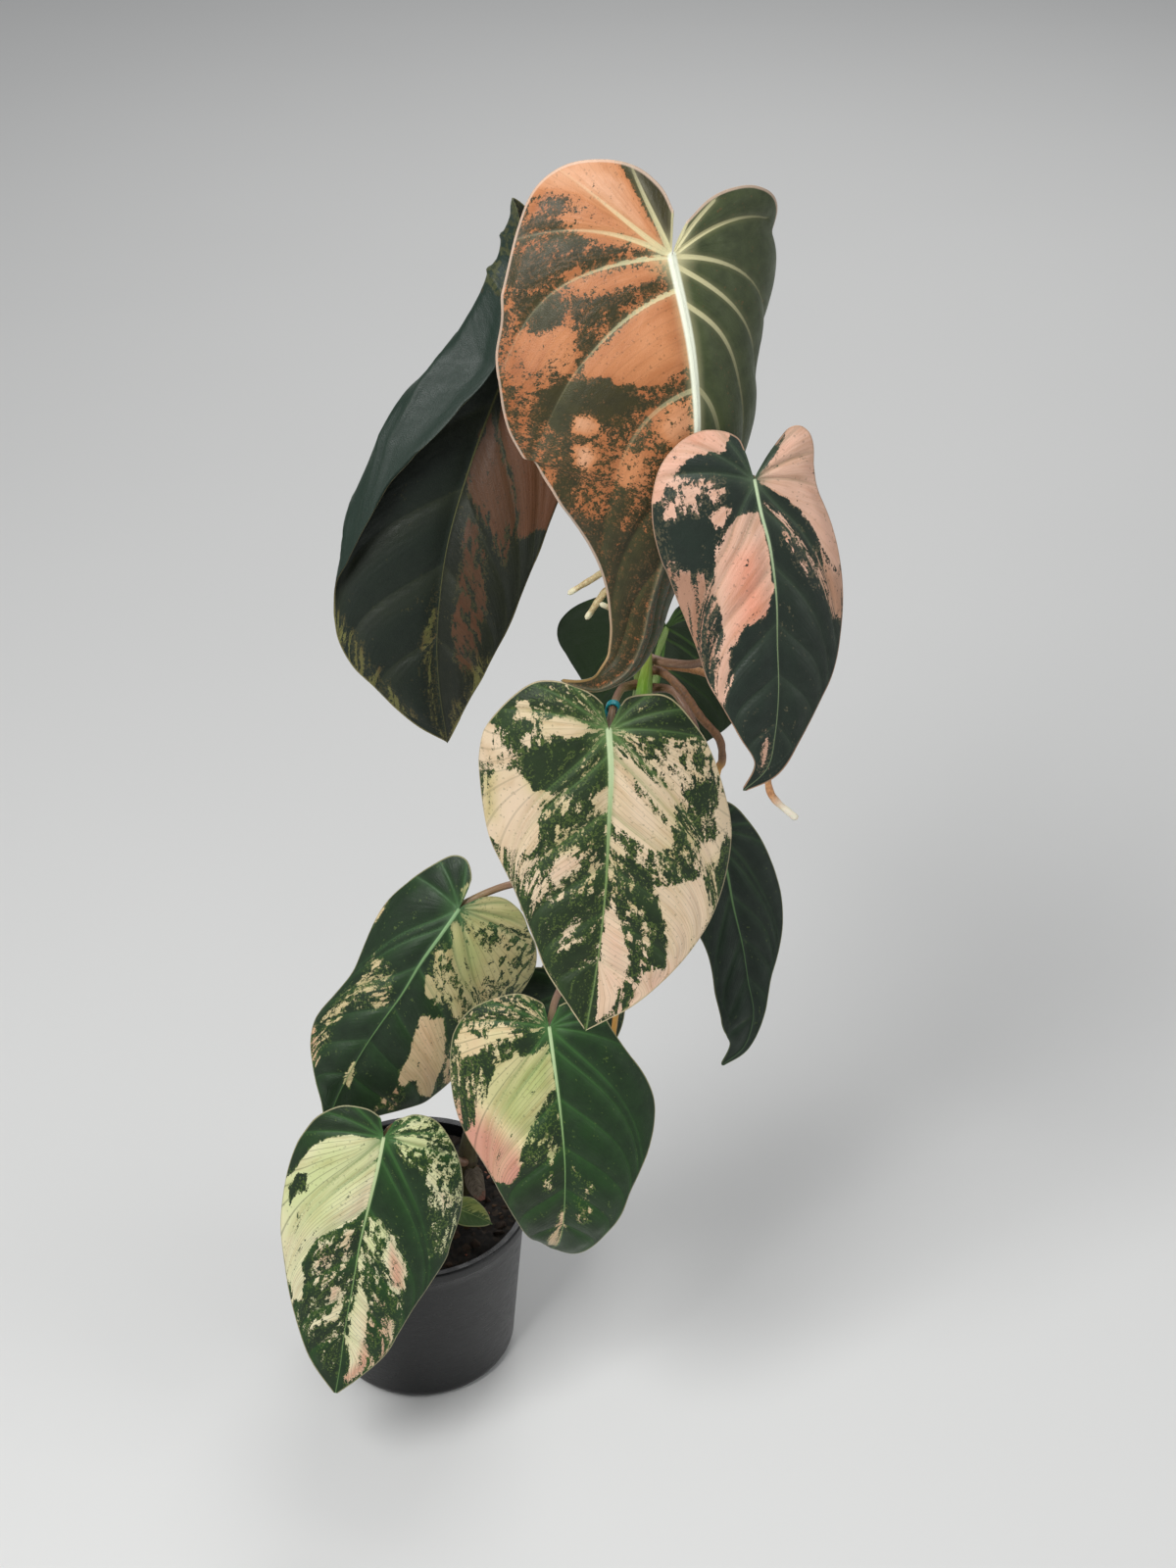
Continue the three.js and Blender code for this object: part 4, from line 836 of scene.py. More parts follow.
class Bench:
    """One material while it is being made."""

    def __init__(self, name, roughness=0.5, **settings):
        self.material = bpy.data.materials.new(name)
        self.material.use_nodes = True
        self.nodes = self.material.node_tree.nodes
        self.links = self.material.node_tree.links
        self.shader = self.nodes["Principled BSDF"]
        self.shader.inputs["Roughness"].default_value = roughness
        for key, value in settings.items():
            self.shader.inputs[key.replace("_", " ")].default_value = value

    def plug(self, value, socket):
        if isinstance(value, bpy.types.NodeSocket):
            self.links.new(value, socket)
        elif value is not None:
            socket.default_value = value

    def node(self, kind, output, inputs=(), **settings):
        """Makes a node, sets it, fills its inputs and hands back one output."""
        node = self.nodes.new("ShaderNode" + kind)
        for key, value in settings.items():
            setattr(node, key, value)
        for key, value in dict(inputs).items():
            self.plug(value, node.inputs[key])
        return node.outputs[output]

    def number(self, name):
        return self.node("Attribute", "Fac", attribute_name=name)

    def place(self, name):
        return self.node("Attribute", "Vector", attribute_name=name)

    def spot(self):
        """The place on the object in mm."""
        return self.stretch(self.node("TexCoord", "Object"), (1000, 1000, 1000))

    def sum(self, operation, *values):
        return self.node("Math", 0, enumerate(values), operation=operation)

    def times(self, a, b):
        return self.sum("MULTIPLY", a, b)

    def swing(self, noise, strength, middle):
        """A value that a noise, which lies about 0.5, pushes up and down."""
        return self.sum("MULTIPLY_ADD", self.sum("SUBTRACT", noise, 0.5), strength, middle)

    def unrolled(self, across, wide, along, long):
        """A flat place on a skin, from a number across it and a number along it, both scaled."""
        return self.node("CombineXYZ", 0, {0: self.times(across, wide), 1: self.times(along, long)})

    def stretch(self, vector, scale):
        return self.node("VectorMath", 0, {0: vector, 1: scale}, operation="MULTIPLY")

    def shift(self, vector, by):
        return self.node("VectorMath", 0, {0: vector, 1: by}, operation="ADD")

    def length(self, vector):
        return self.node("VectorMath", "Value", {0: vector}, operation="LENGTH")

    def between(self, value, low, high, out_low=0.0, out_high=1.0):
        """out_low below low, out_high above high, and a soft step from one to the other."""
        ends = {"From Min": low, "From Max": high, "To Min": out_low, "To Max": out_high}
        return self.node("MapRange", "Result", {"Value": value, **ends}, interpolation_type="SMOOTHSTEP")

    def cloud(self, vector, scale, detail=3.0, rough=0.55, output="Fac"):
        inputs = {"Vector": vector, "Scale": scale, "Detail": detail, "Roughness": rough}
        return self.node("TexNoise", output, inputs)

    def wobble(self, vector, scale, detail, size):
        """A push for places, different from point to point. size is its most, in each direction."""
        return self.stretch(self.cloud(vector, scale, detail, output="Color"), size)

    def cells(self, vector, scale, output="Color", metric="EUCLIDEAN"):
        return self.node("TexVoronoi", output, {"Vector": vector, "Scale": scale}, distance=metric)

    def mix(self, factor, a, b, kind="MIX"):
        inputs = {"Factor": factor, "A": paint(a), "B": paint(b)}
        return self.node("Mix", "Result", inputs, data_type="RGBA", blend_type=kind)

    def ramp(self, factor, stops):
        colour = self.node("ValToRGB", "Color", {"Fac": factor})
        ramp = colour.node.color_ramp
        while len(ramp.elements) < len(stops):
            ramp.elements.new(0.5)
        for element, (where, shade) in zip(ramp.elements, stops):
            element.position = where
            element.color = paint(shade)
        return colour

    def bump(self, height, distance_mm, strength, below=None):
        inputs = {"Distance": distance_mm * MM, "Strength": strength, "Height": height, "Normal": below}
        return self.node("Bump", "Normal", inputs)

    def finish(self, colour, normal=None, roughness=None):
        self.plug(colour, self.shader.inputs["Base Color"])
        self.plug(normal, self.shader.inputs["Normal"])
        self.plug(roughness, self.shader.inputs["Roughness"])
        return self.material


def install(piece, node, material):
    """Gives a piece its finish and lets it stand in for a CAD node."""
    piece.data.materials.append(material)
    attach(piece, "root")
    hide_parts(node)
    return piece


print("orange on a screen is", [round(c, 3) for c in linear(220, 130, 60)], "as light")

# %% [markdown]
# ## How the leaves differ
#
# One finish serves all leaves, and a table says what is particular to each: two greens, one for
# each half, three colours of bare tissue from cool to warm, and how its veins, midrib and rim
# stand out. Colours are those of a screen. What a leaf doesn't say is taken from the plain leaf.

# %% Leaf looks
PLAIN = dict(
    half=(104, 122, 60),  # the border between green and bare tissue
    fresh=0.35, fresh_green=(52, 86, 44),  # the tint on the tip's side of each vein
    streaks=0.15, blotches=False,  # how strong streaks are in a border, and whether it is marbled
    lines=0.4,  # how strong the fine lines in bare tissue are
    star=12, star_strength=0.5,  # the pale star round the petiole's end, in mm
    vein_width=0.5, vein_reach=0.6, vein_end=0.15, halo=0.22,
    rib_reach=0.6, rib_fade=(0.45, 0.9), rib_end=0.5,  # shares of the leaf's length
    rim=(150, 150, 108), rim_width=0.55,
    under=(78, 98, 70),
)
LOOKS = {
    "leaf_a": dict(green=[(60, 55, 27), (68, 78, 44)],
        bare=[(168, 102, 58), (200, 134, 88), (226, 176, 140)], vein=(224, 216, 168), vein_strength=0.75,
        vein_width=0.8, vein_reach=0.5, vein_end=0.0, halo=0.14, star=13, lines=0.2, midrib=(238, 242, 220),
        rib_width=3.4, rib_reach=0.9, rib_fade=(0.4, 0.6), rib_end=0.04, half=(112, 80, 46),
        fresh_green=(84, 90, 52), fresh=0.2, streaks=0.04, blotches=True, rim=(236, 216, 196),
        rim_tip=(176, 140, 84), rim_width=1.3),
    # Leaf B's bare tissue is painted dark brown and olive: painted shade, for the shadow of leaf A that it
    # hangs in.
    "leaf_b": dict(green=[(26, 36, 26), (28, 32, 20)], bare=[(104, 104, 58), (80, 54, 34), (100, 62, 38)],
        vein=(84, 88, 52), vein_strength=0.12, halo=0.1, star_strength=0.1, lines=0.3, midrib=(92, 92, 50),
        rib_width=1.0, half=(70, 66, 38), fresh_green=(56, 60, 40), fresh=0.3, rim=(128, 120, 76),
        under=(30, 47, 38)),
    "leaf_c": dict(green=[(32, 44, 35), (31, 42, 33)],
        bare=[(172, 130, 106), (224, 182, 158), (230, 154, 126)], vein=(84, 104, 76), vein_strength=0.2,
        halo=0.14, star=9, lines=0.12, midrib=(128, 146, 104), midrib_top=(198, 218, 176), rib_width=1.2,
        half=(98, 92, 68), fresh_green=(56, 70, 54), streaks=0.08, rim=(176, 140, 112)),
    "leaf_d": dict(green=[(36, 54, 24), (31, 48, 22)],
        bare=[(204, 190, 136), (230, 206, 176), (224, 178, 154)], vein=(110, 144, 82), vein_strength=0.35,
        halo=0.2, star=14, lines=0.45, midrib=(124, 150, 88), midrib_top=(204, 224, 174), rib_width=2.5,
        half=(92, 112, 50), fresh_green=(58, 84, 42), streaks=0.06, rim=(206, 190, 150)),
    "leaf_e": dict(green=[(24, 42, 28), (24, 42, 28)],
        bare=[(150, 160, 100), (200, 190, 140), (210, 160, 130)], vein=(62, 90, 56), vein_strength=0.4,
        star=9, midrib=(84, 118, 70), midrib_top=(120, 156, 100), rib_width=1.3, fresh_green=(40, 66, 38),
        rim=(96, 108, 72)),
    "leaf_f": dict(green=[(31, 52, 28), (30, 50, 27)],
        bare=[(170, 176, 112), (218, 198, 152), (224, 174, 142)], vein=(84, 124, 76), vein_strength=0.35,
        halo=0.18, star=13, lines=0.5, midrib=(100, 136, 80), midrib_top=(150, 188, 134), rib_width=1.5,
        half=(98, 118, 58), fresh_green=(50, 86, 40), streaks=0.08, rim=(140, 146, 104)),
    "leaf_g": dict(green=[(32, 52, 23), (28, 56, 22)],
        bare=[(184, 192, 124), (230, 214, 166), (216, 156, 134)], vein=(76, 124, 62), vein_strength=0.32,
        halo=0.16, star=13, lines=0.75, midrib=(124, 160, 96), midrib_top=(196, 220, 166), rib_width=1.5,
        half=(92, 116, 48), fresh_green=(46, 88, 34), fresh=0.45, streaks=0.08),
    "leaf_h": dict(green=[(29, 50, 22), (25, 54, 20)],
        bare=[(214, 222, 160), (236, 228, 188), (222, 166, 140)], vein=(76, 124, 62), vein_strength=0.35,
        halo=0.18, star=11, lines=0.85, midrib=(124, 158, 92), midrib_top=(210, 226, 172), rib_width=1.5,
        half=(92, 116, 48), fresh_green=(46, 88, 34), fresh=0.45, streaks=0.05, rim=(160, 156, 116)),
    "leaf_i": dict(green=[(28, 46, 24), (28, 46, 24)],
        bare=[(120, 140, 80), (150, 150, 90), (160, 130, 100)], vein=(62, 96, 42), vein_strength=0.6,
        midrib=(104, 144, 62), rib_width=1.4, under=(38, 58, 30)),
    "leaf_j": dict(green=[(28, 48, 28), (28, 48, 28)],
        bare=[(150, 160, 100), (200, 190, 140), (210, 160, 130)], vein=(68, 100, 58), vein_strength=0.45,
        star=10, midrib=(96, 130, 74), midrib_top=(130, 164, 104), rib_width=1.2),
    "leaf_small": dict(green=[(66, 94, 42), (66, 94, 42)],
        bare=[(150, 160, 84), (180, 180, 110), (190, 150, 110)], vein=(110, 136, 72), vein_strength=0.4,
        midrib=(140, 160, 88), rib_width=0.7),
}


def look_of(name):
    """All that is said about one leaf. The midrib and the rim may change colour to the tip."""
    look = {**PLAIN, **LOOKS[name]}
    return {"midrib_top": look["midrib"], "rim_tip": look["rim"], **look}


print("looks for", len(LOOKS), "leaves")

# %% [markdown]
# ## How the green is lost
#
# A sector's border isn't a line but a crowd of cells that have or haven't lost their green. Each
# point draws a chance from noises of several sizes, and the share of bare tissue says how low a
# chance is enough. The sizes are those seen on the leaf: clusters of about 7 mm, blocks of 5 mm,
# streaks along the veins, chips of 2 mm, and dust below 1 mm. All but the dust are drawn in
# coordinates that run with the veins, so that they lie in families as the real ones do. Only the
# largest leaf is marbled, so its chips are blotches that don't follow the veins.

# %% Lost green
ACROSS_VEINS = 14.0  # from one vein to the next, in the noise's units
ALONG_VEINS = 0.5  # for each mm
WEIGHTS = {"clusters": 0.3, "blocks": 0.13, "chips": 0.34, "dust and streaks": 0.23}


def lost_green(b, look, flat, along_veins):
    """How far each point is past losing its green (0.5 is the border), and the finest noise in it."""
    wobble = b.wobble(flat, 0.5, 3.0, (3.2, 3.2, 0))
    small_wobble = b.wobble(flat, 1.6, 2.0, (1.1, 1.1, 0))
    families = b.shift(along_veins, wobble)
    clusters = b.swing(b.cloud(families, 0.15, 5.0, 0.66), 2.2, 0.5)
    blocks = b.cells(families, 0.2, metric="CHEBYCHEV")
    streaks = b.cells(b.shift(b.stretch(along_veins, (0.5, 0.5, 1)), wobble), 0.42)
    if look["blotches"]:
        chips = b.swing(b.cloud(b.shift(flat, small_wobble), 0.28, 5.0, 0.72), 2.4, 0.5)
    else:
        squares = b.shift(b.stretch(along_veins, (1, 1.5, 1)), small_wobble)
        chips = b.cells(squares, 0.52, metric="CHEBYCHEV")
    dust = b.cells(b.shift(flat, small_wobble), 1.4)
    chance = 0.0
    for source, weight in (
        (clusters, WEIGHTS["clusters"]),
        (blocks, WEIGHTS["blocks"]),
        (streaks, look["streaks"]),
        (chips, WEIGHTS["chips"]),
        (dust, WEIGHTS["dust and streaks"] - look["streaks"]),
    ):
        chance = b.sum("MULTIPLY_ADD", source, weight, chance)
    bare = b.number("bare")
    reach = b.between(bare, 0.0, 0.06, 0.9, 2.15)
    return b.swing(chance, reach, bare), dust


# %% [markdown]
# ## Green and bare tissue
#
# The green is dark and mottled, and a little fresher on the tip's side of each vein. Where it is
# gone the tissue is orange, pink, cream or yellow-green, and it keeps faint lines along the veins.
# Between the two lies a thin border where only one of the leaf's cell layers has lost its green.

# %% Leaf tissue
LINES_PER_VEIN = 9


def green_tissue(b, look, index, mottle):
    left, right = look["green"]
    halves = b.between(b.sum("SUBTRACT", index, 15.0), -0.5, 0.5)
    green = b.mix(halves, left, right)
    fresh = b.between(b.sum("FRACT", index), 0.0, 0.5, look["fresh"], 0.0)
    green = b.mix(fresh, green, look["fresh_green"])
    deep = b.mix(0.4, green, (0.002, 0.006, 0.003, 1))
    return b.mix(b.between(mottle, 0.3, 0.75), green, deep)


def bare_colour(b, look, along_veins, index, gap, green):
    """Tissue without green, from its cool to its warm colour, darkened in streaks of painted shade, with
    fine lines along the veins.
    """
    drift = b.cloud(along_veins, 0.09, 3.0)
    bare = b.ramp(b.swing(drift, 0.5, b.number("warm")), list(zip((0.0, 0.42, 0.9), look["bare"])))
    # Painted shade: noise streaks that run with the veins darken the bare tissue towards brown.
    streak = b.cloud(b.stretch(along_veins, (1, 0.22, 1)), 0.4, 4.0, 0.6)
    bare = b.mix(b.between(streak, 0.42, 0.7, 0.0, 0.75), bare, (0.8, 0.72, 0.62, 1), "MULTIPLY")
    lines = b.sum("SINE", b.times(index, 2 * math.pi * LINES_PER_VEIN))
    drawn = b.times(b.between(lines, 0.84, 0.99, 0.0, look["lines"]), b.between(gap, 3.0, 9.0))
    return b.mix(drawn, bare, b.mix(0.5, bare, green)), lines


def mosaic(b, look, lost, dust, green, bare):
    """Green, border and bare tissue together, and the bare tissue by itself."""
    bare = b.mix(b.between(lost, 0.5, 0.62, 0.3, 0.0), bare, green)
    bare = b.mix(b.between(dust, 0.86, 0.88, 0.0, 0.3), bare, green)
    border = b.mix(0.55, green, look["half"])
    skin = b.mix(b.between(b.swing(dust, 0.55, lost), 0.34, 0.38), green, border)
    return b.mix(b.between(lost, 0.49, 0.51), skin, bare), bare


# %% [markdown]
# ## Veins, midrib and rim
#
# A pale star marks the place where the petiole ends. Each vein is a pale line in a soft halo that
# thins out with its length and fades to the leaf's tip. The midrib is broad at the top and narrows
# to a thread, and a fine pale rim follows the margin.


# %% Leaf lines
def draw_veins(b, look, skin, flat, share, index, gap, run):
    """The skin with its star, halos and veins, and how much vein there is at each point."""
    near = b.between(b.length(flat), 0.0, look["star"], 1.0, 0.0)
    skin = b.mix(b.times(near, look["star_strength"]), skin, look["vein"])
    off_vein = b.times(b.sum("ABSOLUTE", b.sum("SUBTRACT", index, b.sum("ROUND", index))), gap)
    fade = b.between(share, 0.0, look["vein_reach"], 1.0, look["vein_end"])
    fade = b.times(b.between(run, 0.0, 62.0, 1.0, 0.12), fade)
    thin = b.between(run, 0.0, 55.0, look["vein_width"], 0.15)
    vein = b.between(off_vein, thin, b.sum("ADD", thin, 0.4), 1.0, 0.0)
    vein = b.times(b.times(vein, fade), look["vein_strength"])
    halo = b.between(off_vein, 0.0, 3.2, look["halo"], 0.0)
    skin = b.mix(b.times(halo, fade), skin, look["vein"])
    return b.mix(vein, skin, look["vein"]), vein


def draw_midrib(b, look, skin, share):
    """The skin with its midrib, and how much midrib there is at each point."""
    away = b.number("rib_away")
    width = b.between(share, 0.0, look["rib_reach"], look["rib_width"] / 2, look["rib_width"] / 7)
    rib = b.between(away, b.times(width, 0.7), b.times(width, 1.4), 1.0, 0.0)
    rib = b.times(rib, b.between(share, *look["rib_fade"], 1.0, look["rib_end"]))
    glow = b.between(away, 0.0, b.times(width, 3.4), 0.35, 0.0)
    glow = b.times(glow, b.between(share, 0.2, 0.8, 1.0, 0.2))
    skin = b.mix(glow, skin, look["vein"])
    midrib = b.mix(b.between(share, 0.0, 0.5), look["midrib_top"], look["midrib"])
    return b.mix(rib, skin, midrib), rib


def draw_rim(b, look, skin, share, bare):
    rim = b.mix(0.4, look["rim"], bare)
    rim = b.mix(b.between(share, 0.6, 0.95), rim, look["rim_tip"])
    width = look["rim_width"]
    return b.mix(b.between(b.number("edge_away"), width * 0.5, width, 0.8, 0.0), skin, rim)


# %% [markdown]
# ## The velvet
#
# The upper side of this plant's leaves is velvet: tiny bumps scatter the light, so that the dark
# green looks deep and soft and the highlights are broad. The sheen of the shader gives that. The
# under side is paler and plainer, with the same veins standing out, and one number on each point
# tells the two sides apart.


# %% Velvet finish
def under_side(b, look, flat, lost, green, bare, vein, rib):
    under = b.mix(b.between(lost, 0.46, 0.56, 0.0, 0.45), look["under"], bare)
    under = b.mix(b.between(b.cloud(flat, 0.8, 4.0), 0.35, 0.7, 0.0, 0.3), under, green)
    ribs = b.mix(0.5, look["vein"], look["midrib"])
    return b.mix(b.sum("MAXIMUM", b.times(vein, 0.8), rib), under, ribs)


def velvet(name):
    """The finish of one blade, upper and under side."""
    look = look_of(name)
    b = Bench(name + "_velvet", roughness=0.5, Sheen_Weight=0.22, Sheen_Roughness=0.35, IOR=1.42)
    b.shader.inputs["Sheen Tint"].default_value = (0.8, 0.9, 0.72, 1)
    flat, share = b.place("flat_place"), b.number("leaf_share")
    index, gap, run = b.number("vein_index"), b.number("vein_gap"), b.number("vein_run")
    along_veins = b.unrolled(index, ACROSS_VEINS, run, ALONG_VEINS)
    mottle = b.cloud(flat, 0.12, 4.0, 0.65)

    lost, dust = lost_green(b, look, flat, along_veins)
    green = green_tissue(b, look, index, mottle)
    bare, lines = bare_colour(b, look, along_veins, index, gap, green)
    skin, bare = mosaic(b, look, lost, dust, green, bare)
    skin, vein = draw_veins(b, look, skin, flat, share, index, gap, run)
    skin, rib = draw_midrib(b, look, skin, share)
    skin = draw_rim(b, look, skin, share, bare)
    under = under_side(b, look, flat, lost, green, bare, vein, rib)
    colour = b.mix(b.between(b.number("underside"), 0.4, 0.6), skin, under)

    pores = b.bump(b.cells(flat, 2.4, "Distance"), 0.16, 0.5)
    fine_lines = b.bump(lines, 0.05, 0.3, pores)
    crepe = b.cloud(b.stretch(along_veins, (1, 0.6, 1)), 0.55, 4.0, 0.6)
    normal = b.bump(crepe, 0.5, 0.5, fine_lines)
    return b.finish(colour, normal, b.between(mottle, 0.3, 0.7, 0.44, 0.58))


for name, piece in blades.items():
    install(piece, name, velvet(name))
print("velvet on", len(blades), "blades")

# %% [markdown]
# ## Round things that follow a path
#
# The stem, the petioles, the roots and the young shoot are all round things swept along a curve. A
# Blender curve with a bevel would give a plain pipe. These have knuckles, grooves, rings and
# tapers, so the sweep is written out: for each ring a function gives the radius, and it may differ
# round the ring.


# %% Sweeping
def band_faces(rows, sides, closed=False):
    """Quads between rings of points, each ring joined to the next one."""
    faces = []
    for i in range(rows if closed else rows - 1):
        j = (i + 1) % rows
        for k in range(sides):
            n = (k + 1) % sides
            faces.append([i * sides + k, i * sides + n, j * sides + n, j * sides + k])
    return faces


def sweep(name, path, radius, sides, rings):
    """A closed body along a path. radius(share, turn) gives its radius in mm."""
    shares = np.linspace(0, 1, rings + 1)
    turns = np.linspace(0, 2 * np.pi, sides, endpoint=False)
    side = np.array([0.3, 1, 0.2])
    vertices = []
    for t in shares:
        centre = path.at(t * path.length)
        along = path.tangent(t * path.length)
        side = unit(side - side.dot(along) * along)
        other = np.cross(along, side)
        out = side * np.cos(turns)[:, None] + other * np.sin(turns)[:, None]
        vertices.append(centre + out * np.broadcast_to(radius(t, turns), turns.shape)[:, None])
    vertices += [path.at(0)[None], path.at(path.length)[None]]
    foot, head, last = (rings + 1) * sides, (rings + 1) * sides + 1, rings * sides
    faces = band_faces(rings + 1, sides)
    for k in range(sides):
        n = (k + 1) % sides
        faces += [[foot, n, k], [head, last + k, last + n]]
    share = np.concatenate([np.repeat(shares, sides), [0, 1]])
    turn = np.concatenate([np.tile(turns, rings + 1), [0, 0]])
    numbers = {"share": share, "turn": turn, "run": share * path.length}
    return tidy_mesh(make_mesh(name, np.vstack(vertices), faces, numbers))


def round_from(turn, angle):
    """How far one direction round a stalk is from another, the short way."""
    return np.angle(np.exp(1j * (turn - angle)))


# %% [markdown]
# ## The climbing stem
#
# The stem is thick and green, and it leans to the right. Each place where a leaf grew is a node: a
# swollen ring, a crescent scar and a step in width. Between nodes it is faintly ribbed along its
# length. Old stem is brown and corky at the foot, new stem is bright.

# %% Stem
STEM_PATH = Path(threes(
    20,12,66, 24,11,97, 33,12,146, 63,20,212, 90,20,293, 105,18,352, 114,15,401, 114,14,420,
    110,14,441, 107,14,461, 104,14,478))
STEM_NODES = (0.12, 0.27, 0.42, 0.55, 0.68, 0.8, 0.91)
SCAR_ABOVE = 1.6  # mm from a node's ring to its scar
FOOT_RADIUS, TOP_RADIUS, TOP_TAPER = 5, 3.6, 5


def stem_radius(t, turn):
    radius = lerp(FOOT_RADIUS, TOP_RADIUS, t)
    for k, node in enumerate(STEM_NODES):
        away = (t - node) * STEM_PATH.length
        leaf_side = np.cos(turn - 2.4 * k)
        radius = radius + 0.9 * bell(away, 3.5)  # the ring
        radius = radius - 0.45 * bell(away - SCAR_ABOVE, 0.7) * (0.6 + 0.4 * leaf_side)
        radius = radius + 0.3 * bell(away + 4.5, 1.2) * leaf_side  # the step
    radius = radius + 0.14 * np.sin(9 * turn) + 0.08 * np.sin(23 * turn + 40 * t)  # the ribs
    top = (1 - t) * STEM_PATH.length
    return radius * (0.35 + 0.65 * smooth(top / TOP_TAPER)) if top < TOP_TAPER else radius


def stem_finish():
    b = Bench("stem_skin", roughness=0.5)
    spot, share = b.spot(), b.number("share")
    age = b.swing(b.cloud(spot, 0.08), 0.5, share)
    ages = (0.0, (74, 62, 44)), (0.3, (92, 92, 52)), (0.65, (104, 118, 58)), (1.0, (122, 148, 66))
    skin = b.ramp(age, ages)
    grain = b.cloud(b.unrolled(b.number("turn"), 7.0, b.number("run"), 0.12), 1.4, 5.0, 0.65)
    skin = b.mix(b.between(grain, 0.45, 0.75, 0.0, 0.6), skin, (70, 58, 38))
    cork = b.cells(b.stretch(spot, (1, 1, 0.6)), 0.9, "Distance")
    skin = b.mix(b.between(cork, 0.08, 0.2, 0.5, 0.0), skin, (168, 156, 116))
    scars = 0.0
    for node in STEM_NODES:
        away = b.sum("ABSOLUTE", b.sum("SUBTRACT", share, node + SCAR_ABOVE / STEM_PATH.length))
        scars = b.sum("MAXIMUM", scars, b.between(away, 0.0006, 0.0042, 1.0, 0.0))
    skin = b.mix(b.times(scars, 0.75), skin, (62, 46, 30))
    return b.finish(skin, b.bump(grain, 0.5, 0.8, b.bump(cork, 0.25, 0.6)))


stem = sweep("stem_fine", STEM_PATH, stem_radius, 72, 420)
install(stem, "stem", stem_finish())
print("stem is", round(STEM_PATH.length), "mm long with", len(STEM_NODES), "nodes")

# %% [markdown]
# ## Petioles
#
# A petiole joins a blade to the stem. It widens at its foot, where it half wraps the stem, and it
# ends in a short thick knuckle that turns the blade to the light. Its upper side has a shallow
# groove. On this plant most are brown with a pink blush and pale streaks; the younger ones are
# still light green. Each row says which blade it carries, how high on the stem it starts, its two
# radii and the places it passes. The smallest one starts in the mix, so its foot is a place.

# %% Petiole routes
PETIOLES = {
    "petiole_a": ("leaf_a", 441, 2.5, 2, threes(
        117,13,449, 121,13,463, 126,13,484, 134,8,537, 135,2,585, 130,-6,614)),
    "petiole_b": ("leaf_b", 463, 2.4, 1.8, threes(100,24,474, 95,32,502, 86,42,543, 78,53,575, 74,56,587)),
    "petiole_c": ("leaf_c", 426, 2.2, 1.6, threes(
        120,9,427, 127,3,429, 139,-8,436, 151,-24,456, 159,-32,490, 162,-37,524)),
    "petiole_d": ("leaf_d", 411, 2.1, 1.6, threes(107,5,415, 104,-10,422, 101,-30,427)),
    "petiole_e": ("leaf_e", 407, 2.1, 1.5, threes(
        121,15,408, 129,7,411, 136,-2,404, 141,-3,389, 145,4,364, 147,9,348)),
    "petiole_f": ("leaf_f", 286, 2.2, 1.6, threes(79,16,291, 71,10,297, 57,-1,308, 42,-7,307)),
    "petiole_g": ("leaf_g", 256, 2.2, 1.6, threes(79,9,254, 78,-8,254, 74,-32,260)),
    "petiole_h": ("leaf_h", 118, 2.2, 1.6, threes(24,2,124, 17,-10,143, 7,-29,172, -3,-48,196)),
    "petiole_i": ("leaf_i", 398, 1.6, 1.2, threes(116,22,396, 121,29,403, 122,35,413)),
    "petiole_j": ("leaf_j", 296, 1.6, 1.2, threes(98,18,289, 98,18,270, 92,16,252, 87,14,243)),
    "petiole_small": ("leaf_small", (12, -8, 84), 1.5, 0.9, threes(14,-11,97, 16,-14,105)),
}
SEAT = 1.4  # mm along the midrib, where the petiole's end sits under the blade


def on_axis(height):
    return STEM_PATH.points[np.abs(STEM_PATH.points[:, 2] - height).argmin()]


def petiole_path(carried, foot, head_radius, points):
    origin, _, up, _ = Blade(LEAVES[carried]).frame(np.array(SEAT))
    start = foot if isinstance(foot, tuple) else on_axis(foot)
    return Path([start, *points, origin - up * 3 * head_radius, origin - up * 0.5])


def petiole_radius(path, foot, head):
    def radius(t, turn):
        along, back = t * path.length, (1 - t) * path.length
        knuckle = 0.3 * bell(back - 7, 5)
        clasp = 0.55 * bell(along, 9)
        groove = 0.16 * bell(round_from(turn, 1.2), 0.35)
        ribs = 0.05 * np.sin(7 * turn)
        end = 0.75 + 0.25 * smooth(back / 2)
        return (lerp(foot, head, math.sqrt(t)) + knuckle + clasp) * end - groove + ribs

    return radius


# %% [markdown]
# A petiole's skin is streaked along its length, because its cells are long ones. A noise drawn in
# space would cut across a bent stalk, so this one is drawn on the unrolled skin and stretched along
# it. The pale flecks are pores.


# %% Petiole finishes
def stalk_finish(name, young, middle, old, streak):
    """Skin of a petiole, from its foot to the blade, with fine streaks and pale flecks."""
    b = Bench(name, roughness=0.42, Coat_Weight=0.1)
    spot = b.spot()
    age = b.swing(b.cloud(spot, 0.07), 0.6, b.number("share"))
    skin = b.ramp(age, [(0.05, old), (0.5, middle), (0.97, young)])
    grain = b.cloud(b.unrolled(b.number("turn"), 2.2, b.number("run"), 0.16), 1.6, 4.0, 0.6)
    skin = b.mix(b.between(grain, 0.5, 0.72, 0.0, 0.55), skin, streak)
    flecks = b.cells(b.stretch(spot, (1, 1, 0.4)), 1.3, "Distance")
    skin = b.mix(b.between(flecks, 0.1, 0.22, 0.45, 0.0), skin, (196, 186, 150))
    return b.finish(skin, b.bump(grain, 0.3, 0.7, b.bump(flecks, 0.12, 0.5)))


